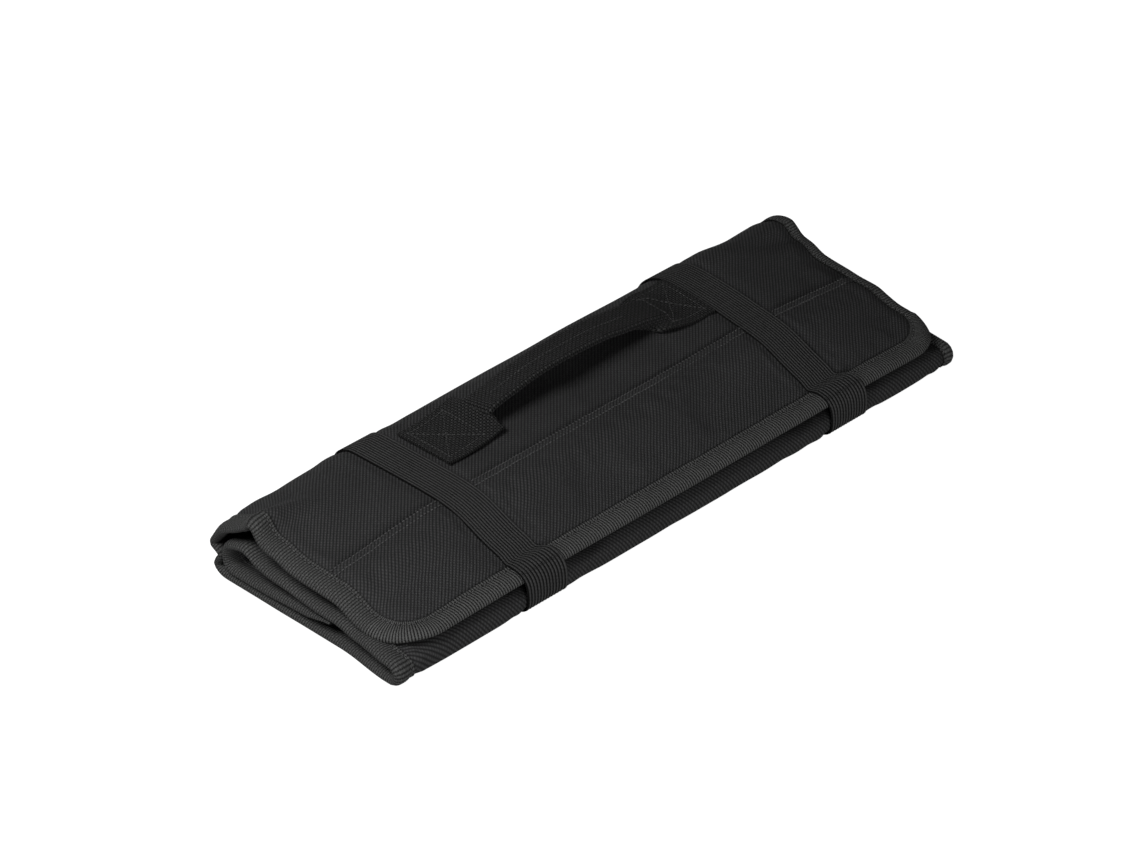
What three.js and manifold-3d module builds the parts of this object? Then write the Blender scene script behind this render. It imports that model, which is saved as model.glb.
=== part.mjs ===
// Folding tool bag: one padded, bound sheet folded in four, two elastic bands and a webbing handle.
// Millimetres, +Z up. X runs along the bag, the front fold is at -Y and the spine at +Y.
// The origin is on the floor, under the middle of the bag.

import * as THREE from 'three';
import Module from 'manifold-3d';
import { mergeVertices } from 'three/addons/utils/BufferGeometryUtils.js';

const wasm = await Module();
wasm.setup();

// Driving dimensions of the folded sheet
const LENGTH = 395;
const DEPTH = 136;
const PAD = 4.4;
const AIR = 28;
const CLEAR = 0.3;
const SEAM_AT = 62.5;
const SEAM_WIDTH = 5;
const SEAM_RISE = 0.6;
const FLAP_SETBACK = 2.5;
const CORNER_RADIUS = 27;
const INNER_REACH = 85.5;
const SHOULDER = 28;
const HEEL = 9;
const STEP = 0.8;

// Binding tape
const TAPE = 1.0;
const TAPE_WIDTH = 12;
const TAPE_EASE = 0.6;

// Elastic bands
const BAND = 1.2;
const BAND_WIDTH = 25;
const BAND_SPACING = 215;
const BAND_SHIFT = 4;

// Handle webbing
const WEB = 1.6;
const WEB_WIDTH = 38;
const PATCH_LENGTH = 44;
const GRIP_WIDTH = 19.5;
const GRIP_RISE = 13.6;
const HANDLE_AT = 97.5;

// Air left between the flap and the pressed stack, as shares of AIR.
// along: share of LENGTH from the left end; across: share of DEPTH from the front fold;
// reach and drop: size of the rounded shoulder at the back, as shares of SHOULDER.
const ACROSS = [0.018, 0.106, 0.268, 0.46, 0.607, 0.754, 0.857, 1];
const FLAP_ROWS = [
  { along: 0.00, air: [0.20, 0.21, 0.28, 0.41, 0.54, 0.80, 0.70, 0.60], reach: 0.85, drop: 0.70 },
  { along: 0.21, air: [0.24, 0.31, 0.52, 0.65, 0.66, 0.65, 0.64, 0.63], reach: 0.45, drop: 0.36 },
  { along: 0.49, air: [0.23, 0.32, 0.57, 0.68, 0.75, 0.80, 0.80, 0.80], reach: 0.60, drop: 0.50 },
  { along: 0.75, air: [0.24, 0.32, 0.61, 0.74, 0.86, 0.93, 0.97, 0.99], reach: 0.75, drop: 0.66 },
  { along: 1.00, air: [0.20, 0.26, 0.46, 0.57, 0.64, 0.71, 0.77, 0.80], reach: 0.72, drop: 0.60 },
];

// Air under the middle and the inner panel, as shares of AIR
const MIDDLE_AIR = [
  { across: 0.05, air: 0.157 }, { across: 0.165, air: 0.205 }, { across: 0.254, air: 0.200 },
  { across: 0.371, air: 0.105 }, { across: 0.48, air: 0.13 }, { across: 0.585, air: 0.19 },
  { across: 0.665, air: 0.214 }, { across: 0.805, air: 0.246 }, { across: 1.0, air: 0.246 },
];
const INNER_AIR = [
  { across: 0.371, air: 0.095 }, { across: 0.48, air: 0.07 }, { across: 0.585, air: 0.045 },
  { across: 0.7, air: 0.01 }, { across: 0.8, air: 0 }, { across: 1.0, air: 0 },
];

// How far the flap's bound ends are drawn in from the full length, as shares of TAPE_WIDTH
const INSET_LEFT = [
  { across: 0.0, inset: 0.25 }, { across: 0.3, inset: 0.25 },
  { across: 0.6, inset: 0 }, { across: 1.0, inset: 0 },
];
const INSET_RIGHT = [
  { across: 0.0, inset: 0 }, { across: 0.24, inset: 0 }, { across: 0.46, inset: 0.5 },
  { across: 0.62, inset: 0.8 }, { across: 0.77, inset: 0.25 }, { across: 0.9, inset: 0 },
  { across: 1.0, inset: 0 },
];

// Rise of the grip along the free webbing, from the left patch to the right one:
// at and rise are shares of the free length and of GRIP_RISE, wide is 1 at full webbing width
const GRIP_ROWS = [
  { at: 0.00, rise: 0.00, wide: 1.00 }, { at: 0.03, rise: 0.10, wide: 0.90 },
  { at: 0.06, rise: 0.40, wide: 0.70 }, { at: 0.10, rise: 0.66, wide: 0.40 },
  { at: 0.18, rise: 0.82, wide: 0.10 }, { at: 0.30, rise: 0.95, wide: 0.00 },
  { at: 0.44, rise: 1.00, wide: 0.00 }, { at: 0.58, rise: 0.92, wide: 0.00 },
  { at: 0.72, rise: 0.66, wide: 0.05 }, { at: 0.84, rise: 0.34, wide: 0.30 },
  { at: 0.93, rise: 0.10, wide: 0.75 }, { at: 1.00, rise: 0.00, wide: 1.00 },
];

// Places worked out from the sizes
const FRONT = -DEPTH / 2;
const BACK = DEPTH / 2;
const HALF = LENGTH / 2;
const HALF_PAD = PAD / 2;
const HALF_RIM = HALF_PAD - TAPE - TAPE_EASE;
const SEAM_Y = FRONT + SEAM_AT;
const FLAP_FRONT = FRONT + FLAP_SETBACK;
const SPINE_MID = BACK - HALF_PAD;
const HEEL_Y = SPINE_MID - HEEL;
const BAND_GROOVE = BAND + CLEAR;
const BANDS = { left: BAND_SHIFT - BAND_SPACING / 2, right: BAND_SHIFT + BAND_SPACING / 2 };

const lerp = THREE.MathUtils.lerp;
const clamp = THREE.MathUtils.clamp;
const smooth = THREE.MathUtils.smoothstep;

// Value of one column of a table, eased between its rows
function column(rows, key, name, at) {
  const last = rows.length - 1;
  let low = 0;
  while (low < last - 1 && rows[low + 1][key] < at) low += 1;
  const share = smooth(at, rows[low][key], rows[low + 1][key]);
  return lerp(rows[low][name], rows[low + 1][name], share);
}

// Value of one column of a table, on a smooth curve through its rows
function curve(rows, key, name, at) {
  const last = rows.length - 1;
  let low = 0;
  while (low < last - 1 && rows[low + 1][key] < at) low += 1;
  const span = rows[low + 1][key] - rows[low][key];
  const share = clamp((at - rows[low][key]) / span, 0, 1);
  const slope = (k) => {
    const [before, after] = [rows[Math.max(k - 1, 0)], rows[Math.min(k + 1, last)]];
    return span * (after[name] - before[name]) / (after[key] - before[key]);
  };
  const [square, cube] = [share ** 2, share ** 3];
  return (2 * cube - 3 * square + 1) * rows[low][name] + (cube - 2 * square + share) * slope(low)
    + (3 * square - 2 * cube) * rows[low + 1][name] + (cube - square) * slope(low + 1);
}

const alongOf = (x) => clamp((x + HALF) / LENGTH, 0, 1);
const acrossOf = (y) => (y - FRONT) / DEPTH;

// The inner panel lies under the rear of the stack only, so the layers above it step up over its edge
function innerLayer(y) {
  const edge = BACK - INNER_REACH;
  return (PAD + CLEAR) * smooth(y, edge - 4 * PAD, edge);
}

function flapMid(x, y) {
  const rows = FLAP_ROWS.map((row) => ({
    along: row.along,
    air: curve(ACROSS.map((across, k) => ({ across, air: row.air[k] })), 'across', 'air', acrossOf(y)),
  }));
  return 2.5 * PAD + 2 * CLEAR + innerLayer(y) + AIR * column(rows, 'along', 'air', alongOf(x));
}

function middleMid(y) {
  return 1.5 * PAD + CLEAR + innerLayer(y) + AIR * curve(MIDDLE_AIR, 'across', 'air', acrossOf(y));
}

function innerMid(y) {
  return 1.5 * PAD + CLEAR + AIR * curve(INNER_AIR, 'across', 'air', acrossOf(y));
}

// End of the flap at one side, -1 left and 1 right
function flapEnd(side, y) {
  const rows = side < 0 ? INSET_LEFT : INSET_RIGHT;
  return side * (HALF - TAPE_WIDTH * column(rows, 'across', 'inset', acrossOf(y)));
}

// Even steps between two values
function steps(from, to, count) {
  return Array.from({ length: count + 1 }, (_, k) => lerp(from, to, k / count));
}

// Point of the flap's profile, with its normal kept upright and stretched to the slope
function flapPoint(x, y) {
  const slope = (flapMid(x, y + PAD) - flapMid(x, y - PAD)) / (2 * PAD);
  return { y, z: flapMid(x, y), ny: 0, nz: Math.hypot(1, slope) };
}

// Adds the unit normal on its outer side to each point of a profile that has none
function withNormals(points, ring = false) {
  const size = points.length;
  return points.map((point, k) => {
    const before = points[ring ? (k + size - 1) % size : Math.max(k - 1, 0)];
    const after = points[ring ? (k + 1) % size : Math.min(k + 1, size - 1)];
    const run = Math.hypot(after.y - before.y, after.z - before.z);
    return { ny: -(after.z - before.z) / run, nz: (after.y - before.y) / run, ...point };
  });
}

// Half turn of a fold from its lower to its upper point, on the side given by toward
function halfTurn(y, low, high, toward, count) {
  const radius = (high - low) / 2;
  return steps(-Math.PI / 2, Math.PI / 2, count).map((angle) => ({
    y: y + toward * radius * Math.cos(angle),
    z: low + radius + radius * Math.sin(angle),
    ny: toward * Math.cos(angle),
    nz: Math.sin(angle),
  }));
}

// Profiles of the sheet, in the order of the sheet from the flap's front edge to the inner panel
const FOLD_RADIUS = (middleMid(FRONT) - HALF_PAD) / 2;
const FOLD_Y = FRONT + HALF_PAD + FOLD_RADIUS;
const TURN_RADIUS = (middleMid(BACK) - innerMid(BACK)) / 2;
const TURN_Y = BACK - PAD - CLEAR - HALF_PAD - TURN_RADIUS;

function spineProfile(x) {
  const reach = SHOULDER * column(FLAP_ROWS, 'along', 'reach', alongOf(x));
  const drop = SHOULDER * column(FLAP_ROWS, 'along', 'drop', alongOf(x));
  const shoulderY = SPINE_MID - reach;
  const top = flapMid(x, shoulderY);
  const flat = steps(SEAM_Y + CLEAR / 2, shoulderY, 6).map((y) => ({ y, z: flapMid(x, y) }));
  flat[0] = flapPoint(x, SEAM_Y + CLEAR / 2);
  const shoulder = steps(Math.PI / 2, 0, 6).slice(1).map((angle) => ({
    y: shoulderY + reach * Math.cos(angle),
    z: top - drop + drop * Math.sin(angle),
  }));
  const heel = steps(0, -Math.PI / 2, 5).map((angle) => ({
    y: HEEL_Y + HEEL * Math.cos(angle),
    z: HALF_PAD + HEEL + HEEL * Math.sin(angle),
    ny: Math.cos(angle),
    nz: Math.sin(angle),
  }));
  return withNormals([...flat, ...shoulder, ...heel]);
}

function bottomProfile() {
  return withNormals(steps(HEEL_Y - CLEAR, FOLD_Y + CLEAR, 4).map((y) => ({ y, z: HALF_PAD })));
}

function middleProfile() {
  const fold = halfTurn(FOLD_Y, HALF_PAD, HALF_PAD + 2 * FOLD_RADIUS, -1, 8);
  const flat = steps(FOLD_Y, TURN_Y - CLEAR, 12).slice(1).map((y) => ({ y, z: middleMid(y) }));
  return withNormals([...fold, ...flat]);
}

function innerProfile() {
  const low = innerMid(TURN_Y);
  const turn = halfTurn(TURN_Y, low, middleMid(TURN_Y), 1, 8).reverse();
  const flat = steps(TURN_Y, BACK - INNER_REACH, 7).slice(1).map((y) => ({ y, z: innerMid(y) }));
  return withNormals([...turn, ...flat]);
}

// Closed solid between two skins over one grid of points { at, out, over, under }.
// A ring closes on itself along its rows.
function sheet(grid, ring = false) {
  const rows = grid.length;
  const cols = grid[0].length;
  const position = [];
  for (const row of grid) {
    for (const { at, out, over } of row) position.push(...at.clone().addScaledVector(out, over));
  }
  for (const row of grid) {
    for (const { at, out, under } of row) position.push(...at.clone().addScaledVector(out, -under));
  }
  const outer = (i, j) => i * cols + (j % cols);
  const inner = (i, j) => rows * cols + outer(i, j);
  const index = [];
  const quad = (a, b, c, d) => index.push(a, b, c, a, c, d);
  const spans = ring ? cols : cols - 1;
  for (let i = 0; i < rows - 1; i += 1) {
    for (let j = 0; j < spans; j += 1) {
      quad(outer(i, j), outer(i + 1, j), outer(i + 1, j + 1), outer(i, j + 1));
      quad(inner(i, j), inner(i, j + 1), inner(i + 1, j + 1), inner(i + 1, j));
    }
    if (ring) continue;
    quad(outer(i + 1, 0), outer(i, 0), inner(i, 0), inner(i + 1, 0));
    quad(outer(i, spans), outer(i + 1, spans), inner(i + 1, spans), inner(i, spans));
  }
  for (let j = 0; j < spans; j += 1) {
    quad(outer(0, j), outer(0, j + 1), inner(0, j + 1), inner(0, j));
    quad(outer(rows - 1, j + 1), outer(rows - 1, j), inner(rows - 1, j), inner(rows - 1, j + 1));
  }
  return facingOut(position, index);
}

// Geometry of a closed mesh, with its faces turned outwards
function facingOut(position, index) {
  const corner = (k) => new THREE.Vector3().fromArray(position, 3 * index[k]);
  let volume = 0;
  for (let k = 0; k < index.length; k += 3) {
    volume += corner(k).dot(corner(k + 1).cross(corner(k + 2)));
  }
  if (volume < 0) index.reverse();
  const geometry = new THREE.BufferGeometry();
  geometry.setAttribute('position', new THREE.Float32BufferAttribute(position, 3));
  geometry.setIndex(index);
  return geometry;
}

// Joins two closed geometries
function join(first, second) {
  const solids = [first, second].map((geometry) => {
    const merged = mergeVertices(geometry);
    return new wasm.Manifold(new wasm.Mesh({
      numProp: 3,
      vertProperties: new Float32Array(merged.getAttribute('position').array),
      triVerts: new Uint32Array(merged.getIndex().array),
    }));
  });
  const mesh = solids[0].add(solids[1]).getMesh();
  const geometry = new THREE.BufferGeometry();
  geometry.setAttribute('position', new THREE.BufferAttribute(mesh.vertProperties, 3));
  geometry.setIndex(new THREE.BufferAttribute(mesh.triVerts, 1));
  return geometry;
}

// 1 where an elastic band presses into the padding at x, 0 away from it
function pressed(x) {
  const reach = BAND_WIDTH / 2 + CLEAR + 0.5 * STEP;
  return Object.values(BANDS).some((middle) => Math.abs(x - middle) < reach) ? 1 : 0;
}

// 1 on the side that faces the floor, 0 where the outer side stands upright or faces up
const facesDown = (point) => clamp(-point.nz, 0, 1);

// Stations along X that every layer shares: thin rims under the tape and grooves under the bands
function stations(endAt, between) {
  const ends = [TAPE + CLEAR, TAPE_WIDTH + CLEAR, TAPE_WIDTH + CLEAR + STEP];
  const left = ends.map((inset, k) => ({ x: (y) => endAt(-1, y) + inset, rim: k < 2 }));
  const right = ends.map((inset, k) => ({ x: (y) => endAt(1, y) - inset, rim: k < 2 })).reverse();
  const middle = between.map((x) => ({ x: () => x, rim: false }));
  return [...left, ...middle, ...right];
}

const fullEnd = (side) => side * HALF;

// Stations between the ends where the flap and the spine change shape
function shapeStations() {
  const reach = HALF - 2 * TAPE_WIDTH;
  const between = steps(-reach, reach, 14).filter((x) => !pressed(x));
  const centres = Object.values(BANDS);
  return [...bandEdges(), ...between, ...centres].sort((a, b) => a - b);
}

function bandEdges() {
  const inside = BAND_WIDTH / 2 + CLEAR;
  return Object.values(BANDS).flatMap((middle) => [
    middle - inside - STEP, middle - inside, middle + inside, middle + inside + STEP,
  ]);
}

// Padded panel along the whole bag, from the profile at each station
function panel(profileAt, endAt, between) {
  const grid = stations(endAt, between).map(({ x, rim }) => profileAt(x(SEAM_Y)).map((point) => {
    const across = x(point.y);
    const half = rim ? HALF_RIM : HALF_PAD;
    const groove = rim ? 0 : BAND_GROOVE * pressed(across) * facesDown(point);
    return {
      at: new THREE.Vector3(across, point.y, point.z),
      out: new THREE.Vector3(0, point.ny, point.nz),
      over: half - groove,
      under: half,
    };
  }));
  return sheet(grid);
}

// Front half of the flap: a full-thickness core joined to the thin rim that the tape covers
function flapLayer(inset, half) {
  const radius = CORNER_RADIUS - inset;
  const middleOf = (side) => side * (HALF - CORNER_RADIUS) + flapEnd(side, FLAP_FRONT) - side * HALF;
  const turn = steps(0, Math.PI / 2, 6);
  const left = turn.map((angle) => ({ side: -1, cos: Math.cos(angle), sin: Math.sin(angle) }));
  const right = turn.map((angle) => ({ side: 1, cos: Math.cos(angle), sin: Math.sin(angle) })).reverse();
  const bow = ({ side, cos, sin }) => ({
    x: middleOf(side) + side * radius * cos,
    front: FLAP_FRONT + CORNER_RADIUS - radius * sin,
    side,
    pull: cos,
  });
  const inner = alongStations().map((x) => ({ x, front: FLAP_FRONT + inset, side: 0, pull: 0 }));
  const columns = [...left.map(bow), ...inner, ...right.map(bow)];
  return sheet(columns.map(({ x, front, side, pull }) => {
    const core = front + TAPE_WIDTH + CLEAR - inset;
    const ys = flapRows().map((share) => lerp(core, SEAM_Y - CLEAR / 2, share));
    if (core > front) ys.unshift(front, (front + core) / 2);
    return ys.map((y) => {
      const drawn = side === 0 ? 0 : pull * (flapEnd(side, y) - flapEnd(side, FLAP_FRONT));
      const at = new THREE.Vector3(x + drawn, y, flapMid(x + drawn, y));
      const lap = half === HALF_PAD && y > SEAM_Y - SEAM_WIDTH - CLEAR ? SEAM_RISE : 0;
      return { at, out: flapUp(at.x, at.y), over: half + lap, under: half };
    });
  }));
}

// Upright vector that keeps the flap's thickness true across its slope
function flapUp(x, y) {
  return new THREE.Vector3(0, 0, flapPoint(x, y).nz);
}

// Shares of the way from the flap's front edge to the seam
function flapRows() {
  const span = SEAM_Y - FLAP_FRONT - TAPE_WIDTH - CLEAR;
  const lap = 1 - SEAM_WIDTH / span;
  return [...steps(0, lap - STEP / span, 6), lap, 1];
}

function alongStations() {
  const reach = HALF - CORNER_RADIUS - TAPE_WIDTH;
  return shapeStations().filter((x) => Math.abs(x) < reach);
}

function flapPanel() {
  return join(flapLayer(TAPE_WIDTH + CLEAR, HALF_PAD), flapLayer(TAPE + CLEAR, HALF_RIM));
}

// Folded tape: a U round the edge at each station { at, out, inward }
function tape(path) {
  const half = HALF_PAD;
  const section = [
    [TAPE_WIDTH, half], [0.5 * TAPE, half], [0, half - 0.5 * TAPE], [0, 0.5 * TAPE - half],
    [0.5 * TAPE, -half], [TAPE_WIDTH, -half], [TAPE_WIDTH, TAPE - half], [TAPE, TAPE - half],
    [TAPE, half - TAPE], [TAPE_WIDTH, half - TAPE],
  ];
  const position = [];
  for (const { at, out, inward } of path) {
    for (const [along, up] of section) {
      position.push(...at.clone().addScaledVector(inward, along).addScaledVector(out, up));
    }
  }
  const size = section.length;
  const index = [];
  for (let i = 0; i < path.length - 1; i += 1) {
    for (let j = 0; j < size; j += 1) {
      const next = (j + 1) % size;
      const [a, b] = [i * size + j, i * size + next];
      index.push(a, b, b + size, a, b + size, a + size);
    }
  }
  const contour = section.map(([along, up]) => new THREE.Vector2(along, up));
  const caps = THREE.ShapeUtils.triangulateShape(contour, []);
  const end = (path.length - 1) * size;
  const turned = THREE.ShapeUtils.isClockWise(contour);
  for (const [a, b, c] of caps) {
    index.push(...(turned ? [a, b, c] : [c, b, a]));
    index.push(...(turned ? [end + c, end + b, end + a] : [end + a, end + b, end + c]));
  }
  return facingOut(position, index);
}

// Tape round every layer at one end, from the flap's corner to the inner panel's edge
function endBinding(side) {
  const corner = FLAP_FRONT + CORNER_RADIUS;
  const places = (shift) => {
    const x = flapEnd(side, SEAM_Y) - side * shift;
    const flap = flapRows().map((share, k) => {
      const y = lerp(corner, SEAM_Y - CLEAR / 2, share) + (k === 0 ? CLEAR : 0);
      return flapPoint(flapEnd(side, y) - side * shift, y);
    });
    const top = [...flap.slice(0, -1), ...spineProfile(x)];
    const under = [...bottomProfile().slice(1), ...middleProfile(), ...innerProfile()];
    const place = (point, edge) => ({
      at: new THREE.Vector3(edge - side * shift, point.y, point.z),
      out: new THREE.Vector3(0, point.ny, point.nz),
    });
    return [
      ...top.map((point) => place(point, flapEnd(side, point.y))),
      ...under.map((point) => place(point, side * HALF)),
    ];
  };
  const inner = places(TAPE_WIDTH);
  return tape(places(0).map(({ at, out }, k) => ({
    at,
    out,
    inward: inner[k].at.clone().sub(at).divideScalar(TAPE_WIDTH),
  })));
}

// Tape round the two rounded corners and the front edge of the flap
function frontBinding() {
  const middleOf = (side) => side * (HALF - CORNER_RADIUS) + flapEnd(side, FLAP_FRONT) - side * HALF;
  const corner = (side) => steps(0, Math.PI / 2, 6).map((angle) => {
    const away = new THREE.Vector3(side * Math.cos(angle), -Math.sin(angle), 0);
    return {
      x: middleOf(side) + away.x * CORNER_RADIUS,
      y: FLAP_FRONT + CORNER_RADIUS + away.y * CORNER_RADIUS,
      inward: away.negate(),
    };
  });
  const edge = alongStations().map((x) => ({ x, y: FLAP_FRONT, inward: new THREE.Vector3(0, 1, 0) }));
  return tape([...corner(-1), ...edge, ...corner(1).reverse()].map(({ x, y, inward }) => {
    const slope = flapMid(x + inward.x * TAPE_WIDTH, y + inward.y * TAPE_WIDTH) - flapMid(x, y);
    return {
      at: new THREE.Vector3(x, y, flapMid(x, y)),
      out: flapUp(x, y),
      inward: new THREE.Vector3(inward.x, inward.y, slope / TAPE_WIDTH),
    };
  }));
}

// Elastic band: a flat ring round the outside of the folded bag, pressed into the padding underneath
function elastic(middle) {
  const grid = steps(middle - BAND_WIDTH / 2, middle + BAND_WIDTH / 2, 2).map((x) => {
    const start = FLAP_FRONT + TAPE_WIDTH + CLEAR;
    const ys = flapRows().map((share) => lerp(start, SEAM_Y - CLEAR / 2, share));
    const flap = withNormals([FLAP_FRONT + TAPE / 2, FLAP_FRONT + TAPE_WIDTH, ...ys].map((y) => ({
      y,
      z: flapMid(x, y),
      lap: y > SEAM_Y - SEAM_WIDTH - CLEAR ? SEAM_RISE : 0,
    })));
    const fold = middleProfile().slice(0, 5);
    const outside = [...flap, ...spineProfile(x).slice(1), ...bottomProfile().slice(1, -1), ...fold];
    const wrapped = outside.map((point) => {
      const away = HALF_PAD + (point.lap ?? 0) - BAND_GROOVE * facesDown(point) + CLEAR + BAND / 2;
      return { y: point.y + away * point.ny, z: point.z + away * point.nz };
    });
    const edge = flapMid(x, FLAP_FRONT);
    const away = CLEAR + BAND / 2;
    const nose = [
      { y: FRONT - away, z: edge - PAD },
      { y: FLAP_FRONT - away, z: edge + HALF_PAD - TAPE },
      { y: FLAP_FRONT + TAPE / 2 - away, z: edge + HALF_PAD + away },
    ];
    return withNormals([...wrapped, ...nose], true).map((point) => ({
      at: new THREE.Vector3(x, point.y, point.z),
      out: new THREE.Vector3(0, point.ny, point.nz),
      over: BAND / 2,
      under: BAND / 2,
    }));
  });
  return sheet(grid, true);
}

// Webbing handle: flat patches at both ends and a narrower, doubled grip that stands off the spine
function handle() {
  const start = BANDS.left + BAND_WIDTH / 2 + CLEAR;
  const stop = BANDS.right - BAND_WIDTH / 2 - CLEAR;
  const lift = start + PATCH_LENGTH;
  const land = stop - PATCH_LENGTH / 2;
  const middle = FRONT + HANDLE_AT;
  const free = steps(0, 1, 24).map((at) => ({
    x: lerp(lift, land, at),
    rise: GRIP_RISE * column(GRIP_ROWS, 'at', 'rise', at),
    wide: column(GRIP_ROWS, 'at', 'wide', at),
  }));
  const flat = (from, to) => steps(from, to, 3).map((x) => ({ x, rise: 0, wide: 1 }));
  const run = [...flat(start, lift).slice(0, -1), ...free, ...flat(land, stop).slice(1)];
  const width = (wide) => lerp(GRIP_WIDTH, WEB_WIDTH, wide);
  const grid = steps(-0.5, 0.5, 4).map((share) => run.map(({ x, rise, wide }, k) => {
    const y = middle + share * width(wide);
    const half = lerp(WEB, WEB / 2, wide);
    const top = Math.max(...[-0.5, 0, 0.5].map((s) => flapMid(x, middle + s * WEB_WIDTH)));
    const surface = lerp(top, flapMid(x, y), wide);
    const before = run[Math.max(k - 1, 0)];
    const after = run[Math.min(k + 1, run.length - 1)];
    return {
      at: new THREE.Vector3(x, y, surface + HALF_PAD + CLEAR + half + rise),
      out: new THREE.Vector3(before.rise - after.rise, 0, after.x - before.x).normalize(),
      over: half,
      under: half,
    };
  }));
  return sheet(grid);
}

const CLOTH = { color: 0x2b2b2e, roughness: 0.9, metalness: 0 };
const BINDING = { color: 0x34363a, roughness: 0.85, metalness: 0 };
const ELASTIC = { color: 0x303133, roughness: 0.8, metalness: 0 };
const WEBBING = { color: 0x2e2f31, roughness: 0.8, metalness: 0 };

const bag = new THREE.Group();

function add(name, geometry, look) {
  const mesh = new THREE.Mesh(geometry, new THREE.MeshStandardMaterial(look));
  mesh.name = name;
  bag.add(mesh);
}

const grooves = bandEdges();

add('flap_panel', flapPanel(), CLOTH);
add('spine_panel', panel(spineProfile, flapEnd, shapeStations()), CLOTH);
add('bottom_panel', panel(bottomProfile, fullEnd, grooves), CLOTH);
add('middle_panel', panel(middleProfile, fullEnd, grooves), CLOTH);
add('inner_panel', panel(innerProfile, fullEnd, []), CLOTH);
add('binding_left', endBinding(-1), BINDING);
add('binding_right', endBinding(1), BINDING);
add('binding_front', frontBinding(), BINDING);
add('elastic_left', elastic(BANDS.left), ELASTIC);
add('elastic_right', elastic(BANDS.right), ELASTIC);
add('handle', handle(), WEBBING);

export default bag;
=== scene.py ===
# %% [markdown]
# # Folding tool bag
# The real bag is one long sheet of dark padded cloth. Its edge is bound with folded tape, it is
# folded in four, and two elastic bands hold it shut. A length of webbing makes the carry handle.
# Soft things like these are made here from measured profiles, in the order of sewing: cloth first,
# then the tape over its edge, then bands, handle and thread.

# %% Load the frame
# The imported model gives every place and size, so nothing below is fitted by eye.
import math

import bmesh
import bpy
import numpy as np
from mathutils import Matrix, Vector


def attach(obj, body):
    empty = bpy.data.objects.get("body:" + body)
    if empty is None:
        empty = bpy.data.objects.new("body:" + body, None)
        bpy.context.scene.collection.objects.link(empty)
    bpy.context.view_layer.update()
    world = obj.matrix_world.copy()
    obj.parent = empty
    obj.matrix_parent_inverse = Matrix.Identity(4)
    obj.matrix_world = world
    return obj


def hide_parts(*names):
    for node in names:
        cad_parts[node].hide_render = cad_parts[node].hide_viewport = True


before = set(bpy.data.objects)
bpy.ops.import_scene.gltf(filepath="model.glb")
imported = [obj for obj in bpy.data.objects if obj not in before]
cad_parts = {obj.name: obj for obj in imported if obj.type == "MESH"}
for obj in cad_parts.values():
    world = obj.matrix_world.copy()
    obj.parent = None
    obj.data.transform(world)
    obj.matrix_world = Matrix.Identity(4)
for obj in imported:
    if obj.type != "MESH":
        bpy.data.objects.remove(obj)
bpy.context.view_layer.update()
BODY = "root"
MM = 0.001
print("nodes:", sorted(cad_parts))

# %% [markdown]
# ## Sizes of the folded sheet
# The same driving sizes as the part's source, in millimetres. X runs along the bag, the front fold
# is at -Y, and the spine, which carries the handle, at +Y.

# %% Sizes
LENGTH = 395.0
DEPTH = 136.0
PAD = 4.4
AIR = 28.0
CLEAR = 0.3
SEAM_AT = 62.5
SEAM_WIDTH = 5.0
SEAM_RISE = 0.6
FLAP_SETBACK = 2.5
CORNER_RADIUS = 27.0
INNER_REACH = 85.5
SHOULDER = 28.0
HEEL = 9.0
TAPE = 1.0
TAPE_WIDTH = 12.0
BAND = 1.2
BAND_WIDTH = 25.0
BAND_SPACING = 215.0
BAND_SHIFT = 4.0
WEB = 1.6
WEB_WIDTH = 38.0
GRIP_WIDTH = 19.5
HANDLE_AT = 97.5

FRONT = -DEPTH / 2
BACK = DEPTH / 2
HALF = LENGTH / 2
HALF_PAD = PAD / 2
SEAM_Y = FRONT + SEAM_AT
FLAP_FRONT = FRONT + FLAP_SETBACK
SPINE_MID = BACK - HALF_PAD
HEEL_Y = SPINE_MID - HEEL
BAND_LEFT = BAND_SHIFT - BAND_SPACING / 2
BAND_RIGHT = BAND_SHIFT + BAND_SPACING / 2
BAND_GROOVE = BAND + CLEAR
print("bands at", BAND_LEFT, BAND_RIGHT)

# %% [markdown]
# ## The air between the layers
# A folded bag sags, so no layer is flat. Small tables say how much air lies under each layer at a
# few places, and smooth curves run through them. `ALONG` goes from the left end to the right one,
# `ACROSS` from the front fold to the spine.

# %% Tables of the sag
ALONG = np.array([0.0, 0.21, 0.49, 0.75, 1.0])
ACROSS = np.array([0.018, 0.106, 0.268, 0.46, 0.607, 0.754, 0.857, 1.0])
FLAP_AIR = np.array([
    [0.20, 0.21, 0.28, 0.41, 0.54, 0.80, 0.70, 0.60],
    [0.24, 0.31, 0.52, 0.65, 0.66, 0.65, 0.64, 0.63],
    [0.23, 0.32, 0.57, 0.68, 0.75, 0.80, 0.80, 0.80],
    [0.24, 0.32, 0.61, 0.74, 0.86, 0.93, 0.97, 0.99],
    [0.20, 0.26, 0.46, 0.57, 0.64, 0.71, 0.77, 0.80],
])
SHOULDER_REACH = np.array([0.85, 0.45, 0.60, 0.75, 0.72])
SHOULDER_DROP = np.array([0.70, 0.36, 0.50, 0.66, 0.60])
MIDDLE_AIR = np.array([
    [0.05, 0.157], [0.165, 0.205], [0.254, 0.200], [0.371, 0.105], [0.48, 0.13],
    [0.585, 0.19], [0.665, 0.214], [0.805, 0.246], [1.0, 0.246],
])
INNER_AIR = np.array([
    [0.371, 0.095], [0.48, 0.07], [0.585, 0.045], [0.7, 0.01], [0.8, 0.0], [1.0, 0.0],
])
INSET_LEFT = np.array([[0.0, 0.25], [0.3, 0.25], [0.6, 0.0], [1.0, 0.0]])
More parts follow.
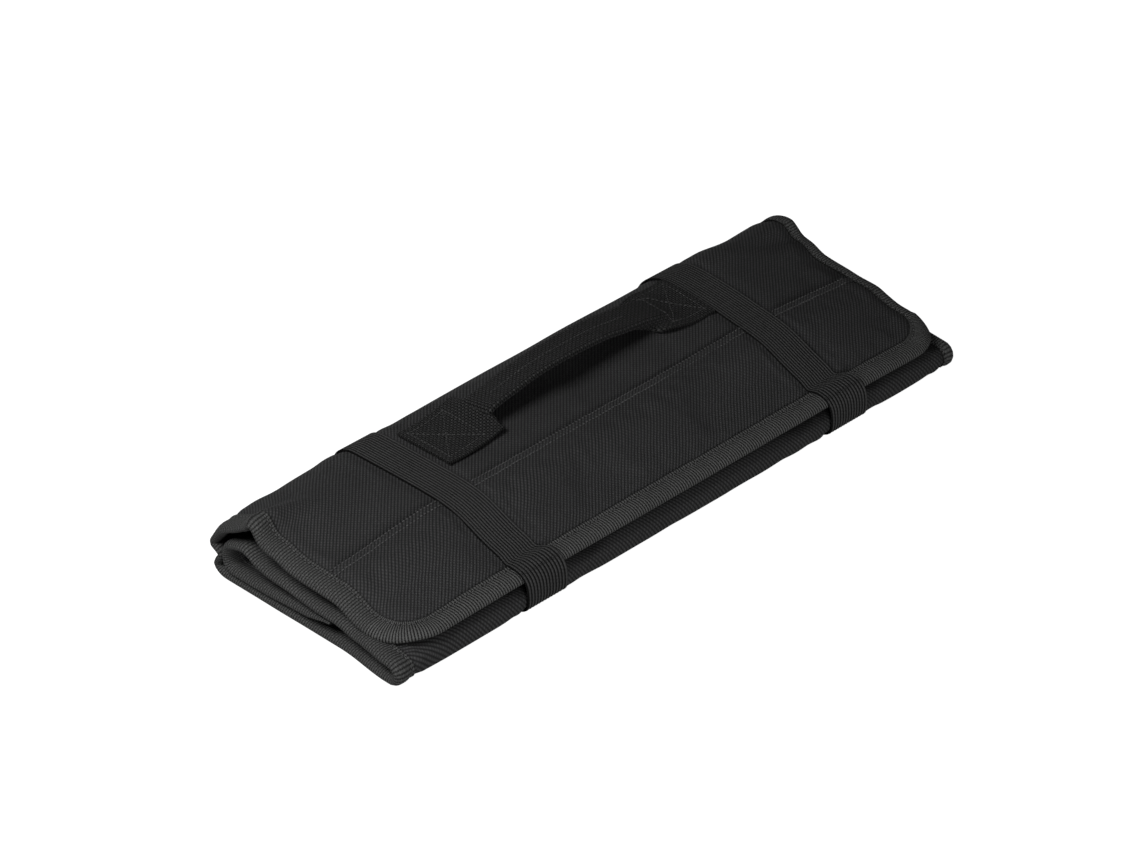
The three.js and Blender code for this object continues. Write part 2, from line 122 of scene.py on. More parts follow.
INSET_RIGHT = np.array([
    [0.0, 0.0], [0.2, 0.08], [0.35, 0.4], [0.48, 0.55], [0.62, 0.62], [0.77, 0.2], [0.9, 0.0], [1.0, 0.0],
])


# %% Curves through the tables
def smooth(value, low, high):
    """0 below low, 1 above high, and an even S between them."""
    share = np.clip((np.asarray(value, float) - low) / (high - low), 0.0, 1.0)
    return share * share * (3.0 - 2.0 * share)


def segment(stops, at):
    """Index of the table row before each value."""
    return np.clip(np.searchsorted(stops[1:], at, side="left"), 0, len(stops) - 2)


def eased(stops, values, at):
    """Value of a table, eased between its rows."""
    low = segment(stops, at)
    share = smooth(at, stops[low], stops[low + 1])
    return values[low] + (values[low + 1] - values[low]) * share


def flowing(stops, values, at):
    """Value of a table, on a smooth curve through its rows."""
    last = len(stops) - 1
    low = segment(stops, at)
    span = stops[low + 1] - stops[low]
    share = np.clip((at - stops[low]) / span, 0.0, 1.0)

    def slope(row):
        before = np.maximum(row - 1, 0)
        after = np.minimum(row + 1, last)
        return span * (values[after] - values[before]) / (stops[after] - stops[before])

    square = share**2
    cube = share**3
    return (
        (2 * cube - 3 * square + 1) * values[low] + (cube - 2 * square + share) * slope(low)
        + (3 * square - 2 * cube) * values[low + 1] + (cube - square) * slope(low + 1)
    )


def along_of(x):
    """Share of the way along the bag, 0 at the left end."""
    return np.clip((x + HALF) / LENGTH, 0.0, 1.0)


def across_of(y):
    """Share of the way across the bag, 0 at the front fold."""
    return (y - FRONT) / DEPTH


def bump(value, middle, reach):
    """1 at the middle, fading softly to 0 at reach."""
    return 1.0 - smooth(np.abs(value - middle), 0.0, reach)


def fold(value, shape):
    """A soft ridge, or a hollow where its height is negative. shape: height, middle, reach."""
    height, middle, reach = shape
    return height * bump(value, middle, reach)


def uneven_wave(at, length, sway, sway_length, beat, start):
    """A wave from -1 to 1 that is uneven, but the same on every run of the script."""
    return np.sin(at / length + sway * np.sin(at / sway_length)) * np.sin(at / beat + start)


# %% Heights of the layers
STEP_UP = 4 * PAD
DROOP_LEFT = 2.6
DROOP_RIGHT = 2.4
DROOP_REACH = TAPE_WIDTH + 2.0
RAISED_SHARES = (0.35, 0.45)
RAISED_ACROSS = ((0.0, 16.0), (38.0, 50.0))

# Folds of the top: height, middle and reach across the bag. Fades are distances from the end.
LEFT_FOLDS = ((3.4, 38.5, 9.0), (2.0, 38.0, 4.2), (-2.4, 28.5, 10.0))
LEFT_FADE = (9.0, 46.0)
CREASE = ((-1.1, 0.0, 8.0), (0.9, -12.0, 11.0))
CREASE_FADE = (78.0, 38.0)
CREASE_START = 36.0
CREASE_SLOPE = 0.32
CREASE_END = 10.0
CORNER_RISE = 3.6
CORNER_FADE = (82.0, 6.0)
CORNER_HUMP = (1.7, HALF - 48.0, 38.0)
CORNER_ACROSS = (1.0, 50.0, 16.0)
FRONT_DIP = (-1.3, -30.0, 34.0)
FRONT_FADE = (62.0, 12.0)
REAR_DIP = (-1.9, 86.0, 52.0)
REAR_ACROSS = (36.0, 52.0)
# Hollows of the flap: a fold along the bag and a share across it.
HOLLOWS = (((-1.6, 62.0, 58.0), (1.0, -26.0, 30.0)), ((-0.9, -35.0, 45.0), (1.0, -33.0, 22.0)))


def flap_end(side, y):
    """X of the flap's bound end, -1 on the left and 1 on the right."""
    stops, values = (INSET_LEFT if side < 0 else INSET_RIGHT).T
    return side * (HALF - TAPE_WIDTH * eased(stops, values, across_of(np.asarray(y, float))))


def inner_layer(y):
    """The inner panel lies under the rear only, so the layers above it step up over its edge."""
    edge = BACK - INNER_REACH
    return (PAD + CLEAR) * smooth(y, edge - STEP_UP, edge)


def flap_cad(x, y):
    """Height of the middle of the flap's padding, two layers and half its own above the table."""
    airs = np.stack([flowing(ACROSS, row, across_of(y)) for row in FLAP_AIR])
    share = along_of(x)
    low = segment(ALONG, share)
    part = smooth(share, ALONG[low], ALONG[low + 1])
    first = np.take_along_axis(airs, low[None], 0)[0]
    second = np.take_along_axis(airs, low[None] + 1, 0)[0]
    return 2.5 * PAD + 2 * CLEAR + inner_layer(y) + AIR * (first + (second - first) * part)


def relief(x, y):
    """Folds and hollows of the top, too small for the solids: crumpled corner, crease, dents."""
    left = 1.0 - smooth(x, -HALF + LEFT_FADE[0], -HALF + LEFT_FADE[1])
    height = left * sum(fold(y, shape) for shape in LEFT_FOLDS)
    right = smooth(x, HALF - CREASE_FADE[0], HALF - CREASE_FADE[1])
    from_crease = y - CREASE_START - CREASE_SLOPE * (HALF - CREASE_END - x)
    height = height + right * sum(fold(from_crease, shape) for shape in CREASE)
    corner = CORNER_RISE * smooth(x, HALF - CORNER_FADE[0], HALF - CORNER_FADE[1]) + fold(x, CORNER_HUMP)
    height = height + corner * fold(y, CORNER_ACROSS)
    height = height + fold(x, REAR_DIP) * smooth(y, *REAR_ACROSS)
    height = height + smooth(x, HALF - FRONT_FADE[0], HALF - FRONT_FADE[1]) * fold(y, FRONT_DIP)
    height = height + sum(fold(x, along) * fold(y, across) for along, across in HOLLOWS)
    left_droop = DROOP_LEFT * (1 - smooth(x - flap_end(-1, y), 0, DROOP_REACH))
    held_up = sum(share * smooth(y, *zone) for share, zone in zip(RAISED_SHARES, RAISED_ACROSS))
    right_droop = DROOP_RIGHT * (1 - held_up) * (1 - smooth(flap_end(1, y) - x, 0, DROOP_REACH))
    return height - left_droop - right_droop


def flap_mid(x, y):
    """Height of the flap's middle with its folds."""
    x, y = np.broadcast_arrays(np.asarray(x, float), np.asarray(y, float))
    return flap_cad(x, y) + relief(x, y)


def middle_mid(y):
    """Height of the middle panel's own middle."""
    y = np.asarray(y, float)
    return 1.5 * PAD + CLEAR + inner_layer(y) + AIR * flowing(*MIDDLE_AIR.T, across_of(y))


def inner_mid(y):
    """Height of the inner panel's own middle."""
    return 1.5 * PAD + CLEAR + AIR * flowing(*INNER_AIR.T, across_of(np.asarray(y, float)))


FOLD_RADIUS = float(middle_mid(FRONT) - HALF_PAD) / 2
FOLD_Y = FRONT + HALF_PAD + FOLD_RADIUS
TURN_RADIUS = float(middle_mid(BACK) - inner_mid(BACK)) / 2
TURN_Y = BACK - PAD - CLEAR - HALF_PAD - TURN_RADIUS
print(f"front fold radius {FOLD_RADIUS:.2f}, inner fold radius {TURN_RADIUS:.2f} mm")


# %% [markdown]
# ## The profile of the sheet
# Seen from the end, the sheet runs from the flap over the round spine, forward along the bottom,
# round the front fold, back over the middle and round the inner fold. The profile is worked out at
# any X as a row of (y, z) points, so cloth, tape and bands can all follow the same line.

# %% Profile behind the seam
SPINE_STEPS = (16, 12, 5, 6)
BOTTOM_STEPS = 20
FOLD_STEPS = 10
MIDDLE_STEPS = 32
TURN_STEPS = 8
INNER_STEPS = 20
TIP_LIFT = 2.2
TIP_REACH = 18.0


def half_turn(y, low, high, toward, count):
    """Half circle from low to high, bulging toward -1 (front) or 1 (rear)."""
    radius = (high - low) / 2
    angle = np.linspace(-math.pi / 2, math.pi / 2, count + 1)
    return np.stack([y + toward * radius * np.cos(angle), low + radius + radius * np.sin(angle)], -1)


def spine_profile(x):
    """Seam, shoulder, back and heel at one X."""
    reach = SHOULDER * eased(ALONG, SHOULDER_REACH, along_of(x))
    drop = SHOULDER * eased(ALONG, SHOULDER_DROP, along_of(x))
    flat_steps, shoulder_steps, back_steps, heel_steps = SPINE_STEPS
    shoulder_y = SPINE_MID - reach
    y = np.linspace(SEAM_Y, shoulder_y, flat_steps + 1)
    flat = np.stack([y, flap_mid(x, y)], -1)
    top = flat[-1, 1]
    angle = np.linspace(math.pi / 2, 0, shoulder_steps + 1)[1:]
    shoulder = np.stack([shoulder_y + reach * np.cos(angle), top - drop + drop * np.sin(angle)], -1)
    fall = np.linspace(top - drop, HALF_PAD + HEEL, back_steps + 1)[1:-1]
    back = np.stack([np.full_like(fall, SPINE_MID), fall], -1)
    angle = np.linspace(0, -math.pi / 2, heel_steps + 1)
    heel = np.stack([HEEL_Y + HEEL * np.cos(angle), HALF_PAD + HEEL + HEEL * np.sin(angle)], -1)
    return np.concatenate([flat, shoulder, back, heel])


def under_profile():
    """Bottom, front fold, middle, inner fold and inner panel, the same at every X."""
    y = np.linspace(HEEL_Y, FOLD_Y, BOTTOM_STEPS + 1)[1:-1]
    bottom = np.stack([y, np.full_like(y, HALF_PAD)], -1)
    fold = half_turn(FOLD_Y, HALF_PAD, HALF_PAD + 2 * FOLD_RADIUS, -1, FOLD_STEPS)
    y = np.linspace(FOLD_Y, TURN_Y, MIDDLE_STEPS + 1)[1:-1]
    middle = np.stack([y, middle_mid(y)], -1)
    turn = half_turn(TURN_Y, float(inner_mid(TURN_Y)), float(middle_mid(TURN_Y)), 1, TURN_STEPS)[::-1]
    y = np.linspace(TURN_Y, BACK - INNER_REACH, INNER_STEPS + 1)[1:]
    tip = TIP_LIFT * (1 - smooth(y, BACK - INNER_REACH, BACK - INNER_REACH + TIP_REACH))
    inner = np.stack([y, inner_mid(y) + tip], -1)
    return np.concatenate([bottom, fold, middle, turn, inner])


def normals_of(path, ring=False):
    """Unit normals on the outer side of a row of (y, z) points."""
    if ring:
        ahead = np.roll(path, -1, 0) - np.roll(path, 1, 0)
    else:
        ahead = np.gradient(path, axis=0)
    ahead /= np.linalg.norm(ahead, axis=-1, keepdims=True)
    return np.stack([-ahead[:, 1], ahead[:, 0]], -1)


def run_of(path):
    """Distance along a path of points."""
    step = np.linalg.norm(np.diff(path, axis=0), axis=-1)
    return np.concatenate([[0.0], np.cumsum(step)])


UNDER = under_profile()
print("profile points:", len(spine_profile(0.0)) + len(UNDER))


# %% Crumpled corner
# At the left end the round back has collapsed on the inner fold, with a crevice between them.
CRUMPLE_START = 4.0
CRUMPLE_REACH = 48.0
SAG = 4.4
SAG_REACH = 32.0
SAG_ACROSS = (40.0, 52.0)
SAG_HEIGHT = (12.0, 26.0)
TUCK = (5.2, 12.5, 7.0)
BULGE = (-1.2, 20.5, 5.5)
BACK_REACH = (6.0, 0.5)
FOLD_DRAW = 3.4
FOLD_ACROSS = 26.0
FOLD_HEIGHT = (2.5, 5.0)
LIFT = 3.0
LIFT_ACROSS = (22.0, 46.0)
LIFT_HUMP = (2.6, 46.0, 12.0)
LIFT_HEIGHT = (8.0, 18.0)
FLARE = 3.2
FLARE_ACROSS = (24.0, 60.0)
SPINE_COUNT = sum(SPINE_STEPS) + 1


def crumple(x, path):
    """Lets the back of the roll sag near the left end, and lifts and draws in the inner fold."""
    amount = 1.0 - smooth(x, -HALF + CRUMPLE_START, -HALF + CRUMPLE_REACH)
    painted_shade = 1.0 - smooth(x, -HALF + CRUMPLE_START, -HALF + SAG_REACH)
    y, z = path.T
    outer = np.arange(len(path)) < SPINE_COUNT
    back = smooth(y, SPINE_MID - BACK_REACH[0], SPINE_MID - BACK_REACH[1])
    tuck = back * (fold(z, TUCK) + fold(z, BULGE))
    sag = SAG * smooth(y, *SAG_ACROSS) * smooth(z, *SAG_HEIGHT)
    inner_fold = smooth(y, FOLD_ACROSS, TURN_Y + TURN_RADIUS)
    inner_fold = inner_fold * smooth(z, HALF_PAD + FOLD_HEIGHT[0], HALF_PAD + FOLD_HEIGHT[1])
    lift = (LIFT * smooth(y, *LIFT_ACROSS) + fold(y, LIFT_HUMP)) * smooth(z, *LIFT_HEIGHT)
    moved_y = y - amount * np.where(outer, tuck, FOLD_DRAW * inner_fold)
    moved_z = z + np.where(outer, -painted_shade * sag, amount * lift)
    return np.stack([moved_y, moved_z], -1)


def left_flare(y):
    """How far the front fold sticks out past the rest of the left end."""
    return FLARE * smooth(-np.asarray(y, float), *FLARE_ACROSS)


def full_profile(x):
    """The whole profile behind the seam at one X."""
    return crumple(x, np.concatenate([spine_profile(x), UNDER]))


# %% [markdown]
# ## Meshes from grids
# Every piece below is a grid of points turned into quads. `shell` makes a closed padded piece with
# an outer and an inner skin, and writes the cloth's own flat coordinates, in metres, to a UV map, so
# that a weave keeps its true scale on every fold.

# %% Mesh helpers
def add_object(name, mesh):
    made = bpy.data.objects.new(name, mesh)
    bpy.context.scene.collection.objects.link(made)
    return made


def make_object(name, points, faces, flats):
    """A smooth-shaded mesh with flat coordinates in a UV map. Its sizes come in millimetres."""
    mesh = bpy.data.meshes.new(name)
    mesh.from_pydata((np.asarray(points) * MM).tolist(), [], faces)
    layer = mesh.uv_layers.new(name="flat")
    index = np.empty(len(mesh.loops), np.int32)
    mesh.loops.foreach_get("vertex_index", index)
    layer.data.foreach_set("uv", (flats[index] * MM).astype(np.float32).ravel())
    mesh.polygons.foreach_set("use_smooth", [True] * len(mesh.polygons))
    mesh.validate()
    return add_object(name, mesh)


def face_outwards(piece):
    work = bmesh.new()
    work.from_mesh(piece.data)
    bmesh.ops.recalc_face_normals(work, faces=work.faces)
    work.to_mesh(piece.data)
    work.free()


def grid_faces(rows, cols, start=0, ring=False):
    """Quads over a grid of points. With ring, the last column is joined to the first."""
    faces = []
    for i in range(rows - 1):
        for j in range(cols if ring else cols - 1):
            a = start + i * cols + j
            b = start + i * cols + (j + 1) % cols
            faces.append((a, b, b + cols, a + cols))
    return faces


def shell(name, middle, normal, over, under, flat, ring=False):
    """Closed padded piece between two skins over one grid of points."""
    rows, cols = middle.shape[:2]
    outer = middle + normal * over[..., None]
    inner = middle - normal * under[..., None]
    points = np.concatenate([outer.reshape(-1, 3), inner.reshape(-1, 3)])
    size = rows * cols
    faces = grid_faces(rows, cols, 0, ring)
    faces += [face[::-1] for face in grid_faces(rows, cols, size, ring)]
    rim = [[i * cols + j for j in range(cols)] + ([i * cols] if ring else []) for i in (0, rows - 1)]
    if not ring:
        rim += [[i * cols + j for i in range(rows)] for j in (0, cols - 1)]
    for line in rim:
        for a, b in zip(line, line[1:]):
            faces.append((a, b, b + size, a + size))
    flats = np.concatenate([flat.reshape(-1, 2)] * 2)
    piece = make_object(name, points, faces, flats)
    face_outwards(piece)
    return piece


# %% [markdown]
# ## Where the cloth is held down
# Padding swells only where nothing holds it. Tape grips both ends, and the seam and the bands press
# it flat. The same places set the thickness of the padding and the pins of the cloth simulation.

# %% Hold of tape and bands
PINCH = 1.25
PINCH_REACH = 5.0
STITCH_ROOM = 1.5
RIGHT_SHORTER = 3.4
SHORTER_FADE = (44.0, 24.0)
SHORTER_CORNER = 8.0
BAND_PRESS = 0.55
BAND_MARGIN = 0.4
BAND_FADE = 3.0
BESIDE_BAND = (0.4, 1.9, 3.6)
BESIDE_TAPE = (2.0, 0.0, -2.0, -4.5)
LEAST_STEP = 0.6


def band_hold(x):
    """1 under an elastic band."""
    near = np.minimum(np.abs(x - BAND_LEFT), np.abs(x - BAND_RIGHT))
    edge = BAND_WIDTH / 2 + BAND_MARGIN
    return 1.0 - smooth(near, edge, edge + BAND_FADE)


def shorter_leg(x, y):
    """How much nearer to the edge the stitching runs on the right end."""
    behind_corner = smooth(y, FLAP_FRONT + SHORTER_CORNER, FLAP_FRONT + CORNER_RADIUS)
    return RIGHT_SHORTER * smooth(x, HALF - SHORTER_FADE[0], HALF - SHORTER_FADE[1]) * behind_corner


def half_thickness(from_edge):
    """Half the padding's thickness at a distance from the bound edge."""
    share = smooth(from_edge, TAPE_WIDTH - STITCH_ROOM, TAPE_WIDTH + PINCH_REACH)
    return HALF_PAD - PINCH + PINCH * share


def held_at(from_edge, pressed):
    """Pins of the cloth: 1 under the tape and the bands, 0 where it is free to swell."""
    return np.clip(1 - smooth(from_edge, TAPE_WIDTH, TAPE_WIDTH + PINCH_REACH) + pressed, 0, 1)


def stations(step, inset):
    """Places along X, closer together at the ends and beside the bands."""
    edge = HALF - inset
    even = np.linspace(-edge, edge, int(2 * edge / step) + 1)
    close = [middle + side * (BAND_WIDTH / 2 + away)
             for middle in (BAND_LEFT, BAND_RIGHT) for side in (-1, 1) for away in BESIDE_BAND]
    close += [side * (HALF - TAPE_WIDTH + away) for side in (-1, 1) for away in BESIDE_TAPE]
    places = np.sort(np.concatenate([even, close]))
    return places[np.concatenate([[True], np.diff(places) > LEAST_STEP])]


print("half thickness at the edge and inside:", half_thickness(0.0), half_thickness(TAPE_WIDTH * 2))


# %% [markdown]
# ## Swelling the padding
# A short cloth simulation with a little pressure and no gravity makes the padding swell between the
# places that hold it. How far a point may move is capped, so neighbouring layers stay apart, and the
# result becomes a plain mesh.

# %% Cloth simulation
SWELL_FRAMES = 14
LEAST_HOLD = 0.01
TINY = 1e-9
SWELL_SETTINGS = {
    "quality": 4,
    "mass": 0.2,
    "tension_stiffness": 12,
    "compression_stiffness": 12,
    "shear_stiffness": 6,
    "bending_stiffness": 0.4,
    "vertex_group_mass": "held",
    "pin_stiffness": 3,
    "use_pressure": True,
    "uniform_pressure_force": 2.0,
    "shrink_min": -0.012,
}


def swell(piece, held, cap):
    """Runs Cloth on a closed piece, held by weights from 0 to 1, and keeps the capped result."""
    group = piece.vertex_groups.new(name="held")
    for index, weight in enumerate(np.tile(held.ravel(), 2)):
        if weight > LEAST_HOLD:
            group.add([index], float(weight), "REPLACE")
    rest = np.empty(len(piece.data.vertices) * 3, np.float32)
    piece.data.vertices.foreach_get("co", rest)
    cloth = piece.modifiers.new("swell", "CLOTH")
    for label, value in SWELL_SETTINGS.items():
        setattr(cloth.settings, label, value)
    cloth.settings.effector_weights.gravity = 0
    cloth.collision_settings.use_collision = False
    scene = bpy.context.scene
    for step in range(1, SWELL_FRAMES + 1):
        scene.frame_set(step)
    depsgraph = bpy.context.evaluated_depsgraph_get()
    solved = piece.evaluated_get(depsgraph).data
    moved = np.empty_like(rest)
    solved.vertices.foreach_get("co", moved)
    piece.modifiers.remove(cloth)
    scene.frame_set(1)
    step = (moved - rest).reshape(-1, 3)
    length = np.linalg.norm(step, axis=1, keepdims=True)
    limit = cap * MM
    step *= limit * np.tanh(length / limit) / np.maximum(length, TINY)
    final = rest.reshape(-1, 3) + step
    final[:, 2] = np.maximum(final[:, 2], 0.0)
    piece.data.vertices.foreach_set("co", final.astype(np.float32).ravel())
    piece.data.update()
    piece.vertex_groups.clear()
    print(f"{piece.name}: {len(final)} points, mean swell {length.mean() / MM:.2f} mm")


def subdivide(piece):
    """One applied subdivision, so the shading runs smoothly over the grid."""
    modifier = piece.modifiers.new("smooth", "SUBSURF")
    modifier.levels = 1
    modifier.render_levels = 1
    modifier.boundary_smooth = "PRESERVE_CORNERS"
    depsgraph = bpy.context.evaluated_depsgraph_get()
    mesh = bpy.data.meshes.new_from_object(piece.evaluated_get(depsgraph))
    piece.modifiers.remove(modifier)
    old = piece.data
    piece.data = mesh
    bpy.data.meshes.remove(old)
    piece.data.name = piece.name


def pad_out(piece, held, cap):
    """Swells a piece and smooths it."""
    swell(piece, held, cap)
    subdivide(piece)


# %% [markdown]
# ## Cloth behind the seam
# The spine, bottom, middle and inner panels are one continuous sheet on the real bag, so they are
# one piece here and stand for four solids.

# %% Folded body of the bag
BODY_STEP = 5.4
BODY_SWELL = 0.7
SHEET_INSET = 1.6
TIP_SHARE = 0.3
TIP_FADE = (2.0, 20.0)
SEAM_VALLEY = 0.35
SEAM_VALLEY_REACH = 2.5


def body_grid():
    """X of each row, (y, z, normal y, normal z) of each point, and how far the row is stretched in X."""
    xs = stations(BODY_STEP, SHEET_INSET)
    rows = []
    for x in xs:
        path = full_profile(x)
        rows.append(np.concatenate([path, normals_of(path)], -1))
    grid = np.array(rows)
    scale = np.ones_like(grid[..., 0])
    y = grid[:, :SPINE_COUNT, 0]
    ends = np.where(xs[:, None] < 0, -flap_end(-1, y), flap_end(1, y))
    scale[:, :SPINE_COUNT] = (ends - SHEET_INSET) / (HALF - SHEET_INSET)
    flare = np.where(xs[:, None] < 0, left_flare(grid[:, SPINE_COUNT:, 0]), 0.0)
    scale[:, SPINE_COUNT:] += flare / (HALF - SHEET_INSET)
    return xs, grid, scale


def make_body():
    """The folded sheet behind the seam, and how firmly each of its points is held."""
    xs, grid, scale = body_grid()
    x = xs[:, None] * scale
    middle = np.stack([x, grid[..., 0], grid[..., 1]], -1)
    normal = np.stack([np.zeros_like(x), grid[..., 2], grid[..., 3]], -1)
    from_edge = (HALF - np.abs(xs))[:, None] * np.ones_like(x)
    run = np.array([run_of(row[:, :2]) for row in grid])
    to_tip = run[:, -1:] - run
    half = half_thickness(from_edge + shorter_leg(x, BACK))
    half = half * (TIP_SHARE + (1 - TIP_SHARE) * smooth(to_tip, *TIP_FADE))
    faces_down = np.clip(-grid[..., 3], 0, 1)
    pressed = band_hold(x)
    over = half - pressed * (BAND_GROOVE * faces_down + BAND_PRESS * (1 - faces_down))
    over = over - SEAM_VALLEY * (1 - smooth(run, 0.0, SEAM_VALLEY_REACH))
    piece = shell("body_cloth", middle, normal, over, half, np.stack([x, run], -1))
    held = held_at(from_edge, pressed)
    held[:, :2] = 1
    held[:, -1] = 1
    return piece, held


body, body_held = make_body()
print("body points:", len(body.data.vertices))

# %% Swell the body
pad_out(body, body_held, BODY_SWELL)

# %% [markdown]
# ## Front half of the flap
# The flap in front of the seam has two rounded corners. Its grid fans out round them, and its rear
# edge is turned under and lies on the spine cloth as a raised lap, held by a line of topstitching
# that puckers it.

# %% Flap cloth
FLAP_STEP = 2.8
FLAP_ROWS = 25
FLAP_SWELL = 0.9
FLAP_OVERLAP = 0.2
FLAP_REAR = SEAM_Y + FLAP_OVERLAP
LAP_ROWS = 13
LAP_STEP = 0.55
LAP_WIDTH = 3.4
LAP_EDGE = SEAM_Y - LAP_WIDTH
LAP_RAMP = (0.6, 1.0)
LAP_GROOVE = (-0.35, LAP_EDGE - 0.3, 1.4)
LAP_HELD = 5.0
SECOND_LINE = SEAM_Y - 0.7
SEAM_BEAD = (0.35, SECOND_LINE, 1.5)
PUCKER = (0.28, LAP_EDGE + 0.4, 4.4)
PUCKER_WAVE = (2.1, 1.3, 17.0, 5.3, 0.7)
CORNER_STEPS = 9
SLOPE_STEP = 0.6


def flap_columns():
    """(x, front y, side, pull) of each column of the flap, from left to right."""
    radius = CORNER_RADIUS - SHEET_INSET
    angle = np.linspace(0, math.pi / 2, CORNER_STEPS + 1)
    columns = []
    for side in (-1, 1):
        middle_x = float(flap_end(side, FLAP_FRONT)) - side * CORNER_RADIUS
        bow = [(middle_x + side * radius * math.cos(a), FLAP_FRONT + CORNER_RADIUS - radius * math.sin(a),
                side, math.cos(a)) for a in angle]
        columns.append(bow)
    first = columns[0][-1][0]
    last = columns[1][-1][0]
    places = stations(FLAP_STEP, 0)
    inner = [(x, FLAP_FRONT + SHEET_INSET, 0, 0.0) for x in places if first + 1 < x < last - 1]
    return columns[0] + inner + columns[1][::-1]


def lap_rise(y):
    """Height of the turned-under rear edge, with its topstitched groove in front."""
    lap = smooth(y, LAP_EDGE - LAP_RAMP[0], LAP_EDGE + LAP_RAMP[1])
    return SEAM_RISE * lap + fold(y, LAP_GROOVE) + fold(y, SEAM_BEAD)


def pucker(x, y):
    """Small gathers along the topstitching."""
    return uneven_wave(x, *PUCKER_WAVE) * fold(y, PUCKER)


def flap_shares():
    """Places of the rows over the flap's depth, from 0 to 1, closer together at the lap."""
    close = 1 - np.arange(LAP_ROWS, -1, -1) * LAP_STEP / (FLAP_REAR - FLAP_FRONT)
    return np.concatenate([np.linspace(0, close[0], FLAP_ROWS + 1), close[1:]])


def flap_grid():
    """(x, y) of each point of the flap."""
    shares = flap_shares()
    columns = []
    for x, front, side, pull in flap_columns():
        y = front + (FLAP_REAR - front) * shares
        shift = 0.0 if side == 0 else pull * (flap_end(side, y) - float(flap_end(side, FLAP_FRONT)))
        columns.append(np.stack([x + shift + 0 * y, y], -1))
    return np.array(columns)


def edge_distance(x, y):
    """Distance from the flap's bound outline."""
    end = np.where(x < 0, -flap_end(-1, y), flap_end(1, y))
    in_x = end - np.abs(x)
    in_y = y - FLAP_FRONT
    corner_x = CORNER_RADIUS - in_x
    corner_y = CORNER_RADIUS - in_y
    round_off = CORNER_RADIUS - np.hypot(np.maximum(corner_x, 0), np.maximum(corner_y, 0))
    return np.where((corner_x > 0) & (corner_y > 0), round_off, np.minimum(in_x, in_y))


def flap_normals(x, y):
    """Unit normals of the flap, from its slopes."""
    ahead = SLOPE_STEP
    slope_x = (flap_mid(x + ahead, y) - flap_mid(x - ahead, y)) / (2 * ahead)
    slope_y = (flap_mid(x, y + ahead) - flap_mid(x, y - ahead)) / (2 * ahead)
    up = np.stack([-slope_x, -slope_y, np.ones_like(slope_x)], -1)
    return up / np.linalg.norm(up, axis=-1, keepdims=True)


def make_flap():
    """The flap in front of the seam, and how firmly each of its points is held."""
    place = flap_grid()
    x = place[..., 0]
    y = place[..., 1]
    middle = np.stack([x, y, flap_mid(x, y)], -1)
    distance = edge_distance(x, y)
    pressed = band_hold(x)
    half = half_thickness(distance + shorter_leg(x, y))
    over = half + lap_rise(y) + pucker(x, y) - BAND_PRESS * pressed
    piece = shell("flap_cloth", middle, flap_normals(x, y), over, half, place)
    return piece, np.maximum(held_at(distance, pressed), smooth(y, LAP_EDGE - LAP_HELD, LAP_EDGE))


flap, flap_held = make_flap()
pad_out(flap, flap_held, FLAP_SWELL)
print("flap points:", len(flap.data.vertices))


# %% [markdown]
# ## Binding tape
# The tape is a strip folded over the edge of the sheet and sewn through. Its section is a rounded U
# that is pinched along the stitching. One section is swept along each edge, and the path gives the
# tape its own flat coordinates for the ribs of its weave.

# %% Section of the tape
TAPE_STATIONS = 2.0
END_STATIONS = 20
CORNER_STATIONS = 24
STITCH_IN = TAPE_WIDTH - 2.4
STITCH_UP = 1.66


def tape_section():
    """Closed outline of the folded tape: (distance in from the edge, height over the sheet's middle)."""
    outer = [
        (TAPE_WIDTH, 1.25), (TAPE_WIDTH - 0.2, 1.8), (TAPE_WIDTH - 0.9, 2.05), (TAPE_WIDTH - 1.7, 1.86),
        (STITCH_IN, STITCH_UP), (TAPE_WIDTH - 3.2, 1.92), (TAPE_WIDTH - 4.6, 2.3),
        (5.8, 2.55), (4.4, 2.6), (3.0, 2.4), (1.8, 2.0), (0.9, 1.45), (0.25, 0.75), (0.0, 0.0),
    ]
    inner = [
        (TAPE, 0.0), (TAPE + 0.4, 0.6), (TAPE + 1.6, 1.1), (4.5, 1.3), (TAPE_WIDTH - 3.4, 1.0),
        (TAPE_WIDTH - 2.2, 0.85), (TAPE_WIDTH - 1.0, 1.0), (TAPE_WIDTH - 0.3, 1.05),
    ]
    low = [(a, -h) for a, h in outer[-2::-1]]
    under = [(a, -h) for a, h in inner[::-1]]
    return np.array(outer + low + under + inner[1:])


def resample(path, step):
    """Even points along a path, measured by its first three columns."""
    run = run_of(path[:, :3])
    count = max(int(round(run[-1] / step)), 2)
    even = np.linspace(0, run[-1], count + 1)
    return np.stack([np.interp(even, run, path[:, k]) for k in range(path.shape[1])], -1)


# %% Edge of the sheet
def end_edge(side):
    """Edge of every layer at one end, from the flap's corner to the inner panel: place and inward vector."""
    corner = FLAP_FRONT + CORNER_RADIUS
    y = np.linspace(corner, SEAM_Y, END_STATIONS)[:-1]

    def line(shift):
        flap_x = flap_end(side, y) - side * shift
        flap_part = np.stack([y, flap_mid(flap_x, y)], -1)
        path = np.concatenate([flap_part, full_profile(float(flap_end(side, SEAM_Y)) - side * shift)])
        top_count = len(flap_part) + SPINE_COUNT
        edge = np.full(len(path), side * HALF)
        edge[:top_count] = flap_end(side, path[:top_count, 0])
        if side < 0:
            edge[top_count:] -= left_flare(path[top_count:, 0])
        return np.stack([edge - side * shift, path[:, 0], path[:, 1]], -1)

    outer = line(0.0)
    return np.concatenate([outer, (line(TAPE_WIDTH) - outer) / TAPE_WIDTH], -1)


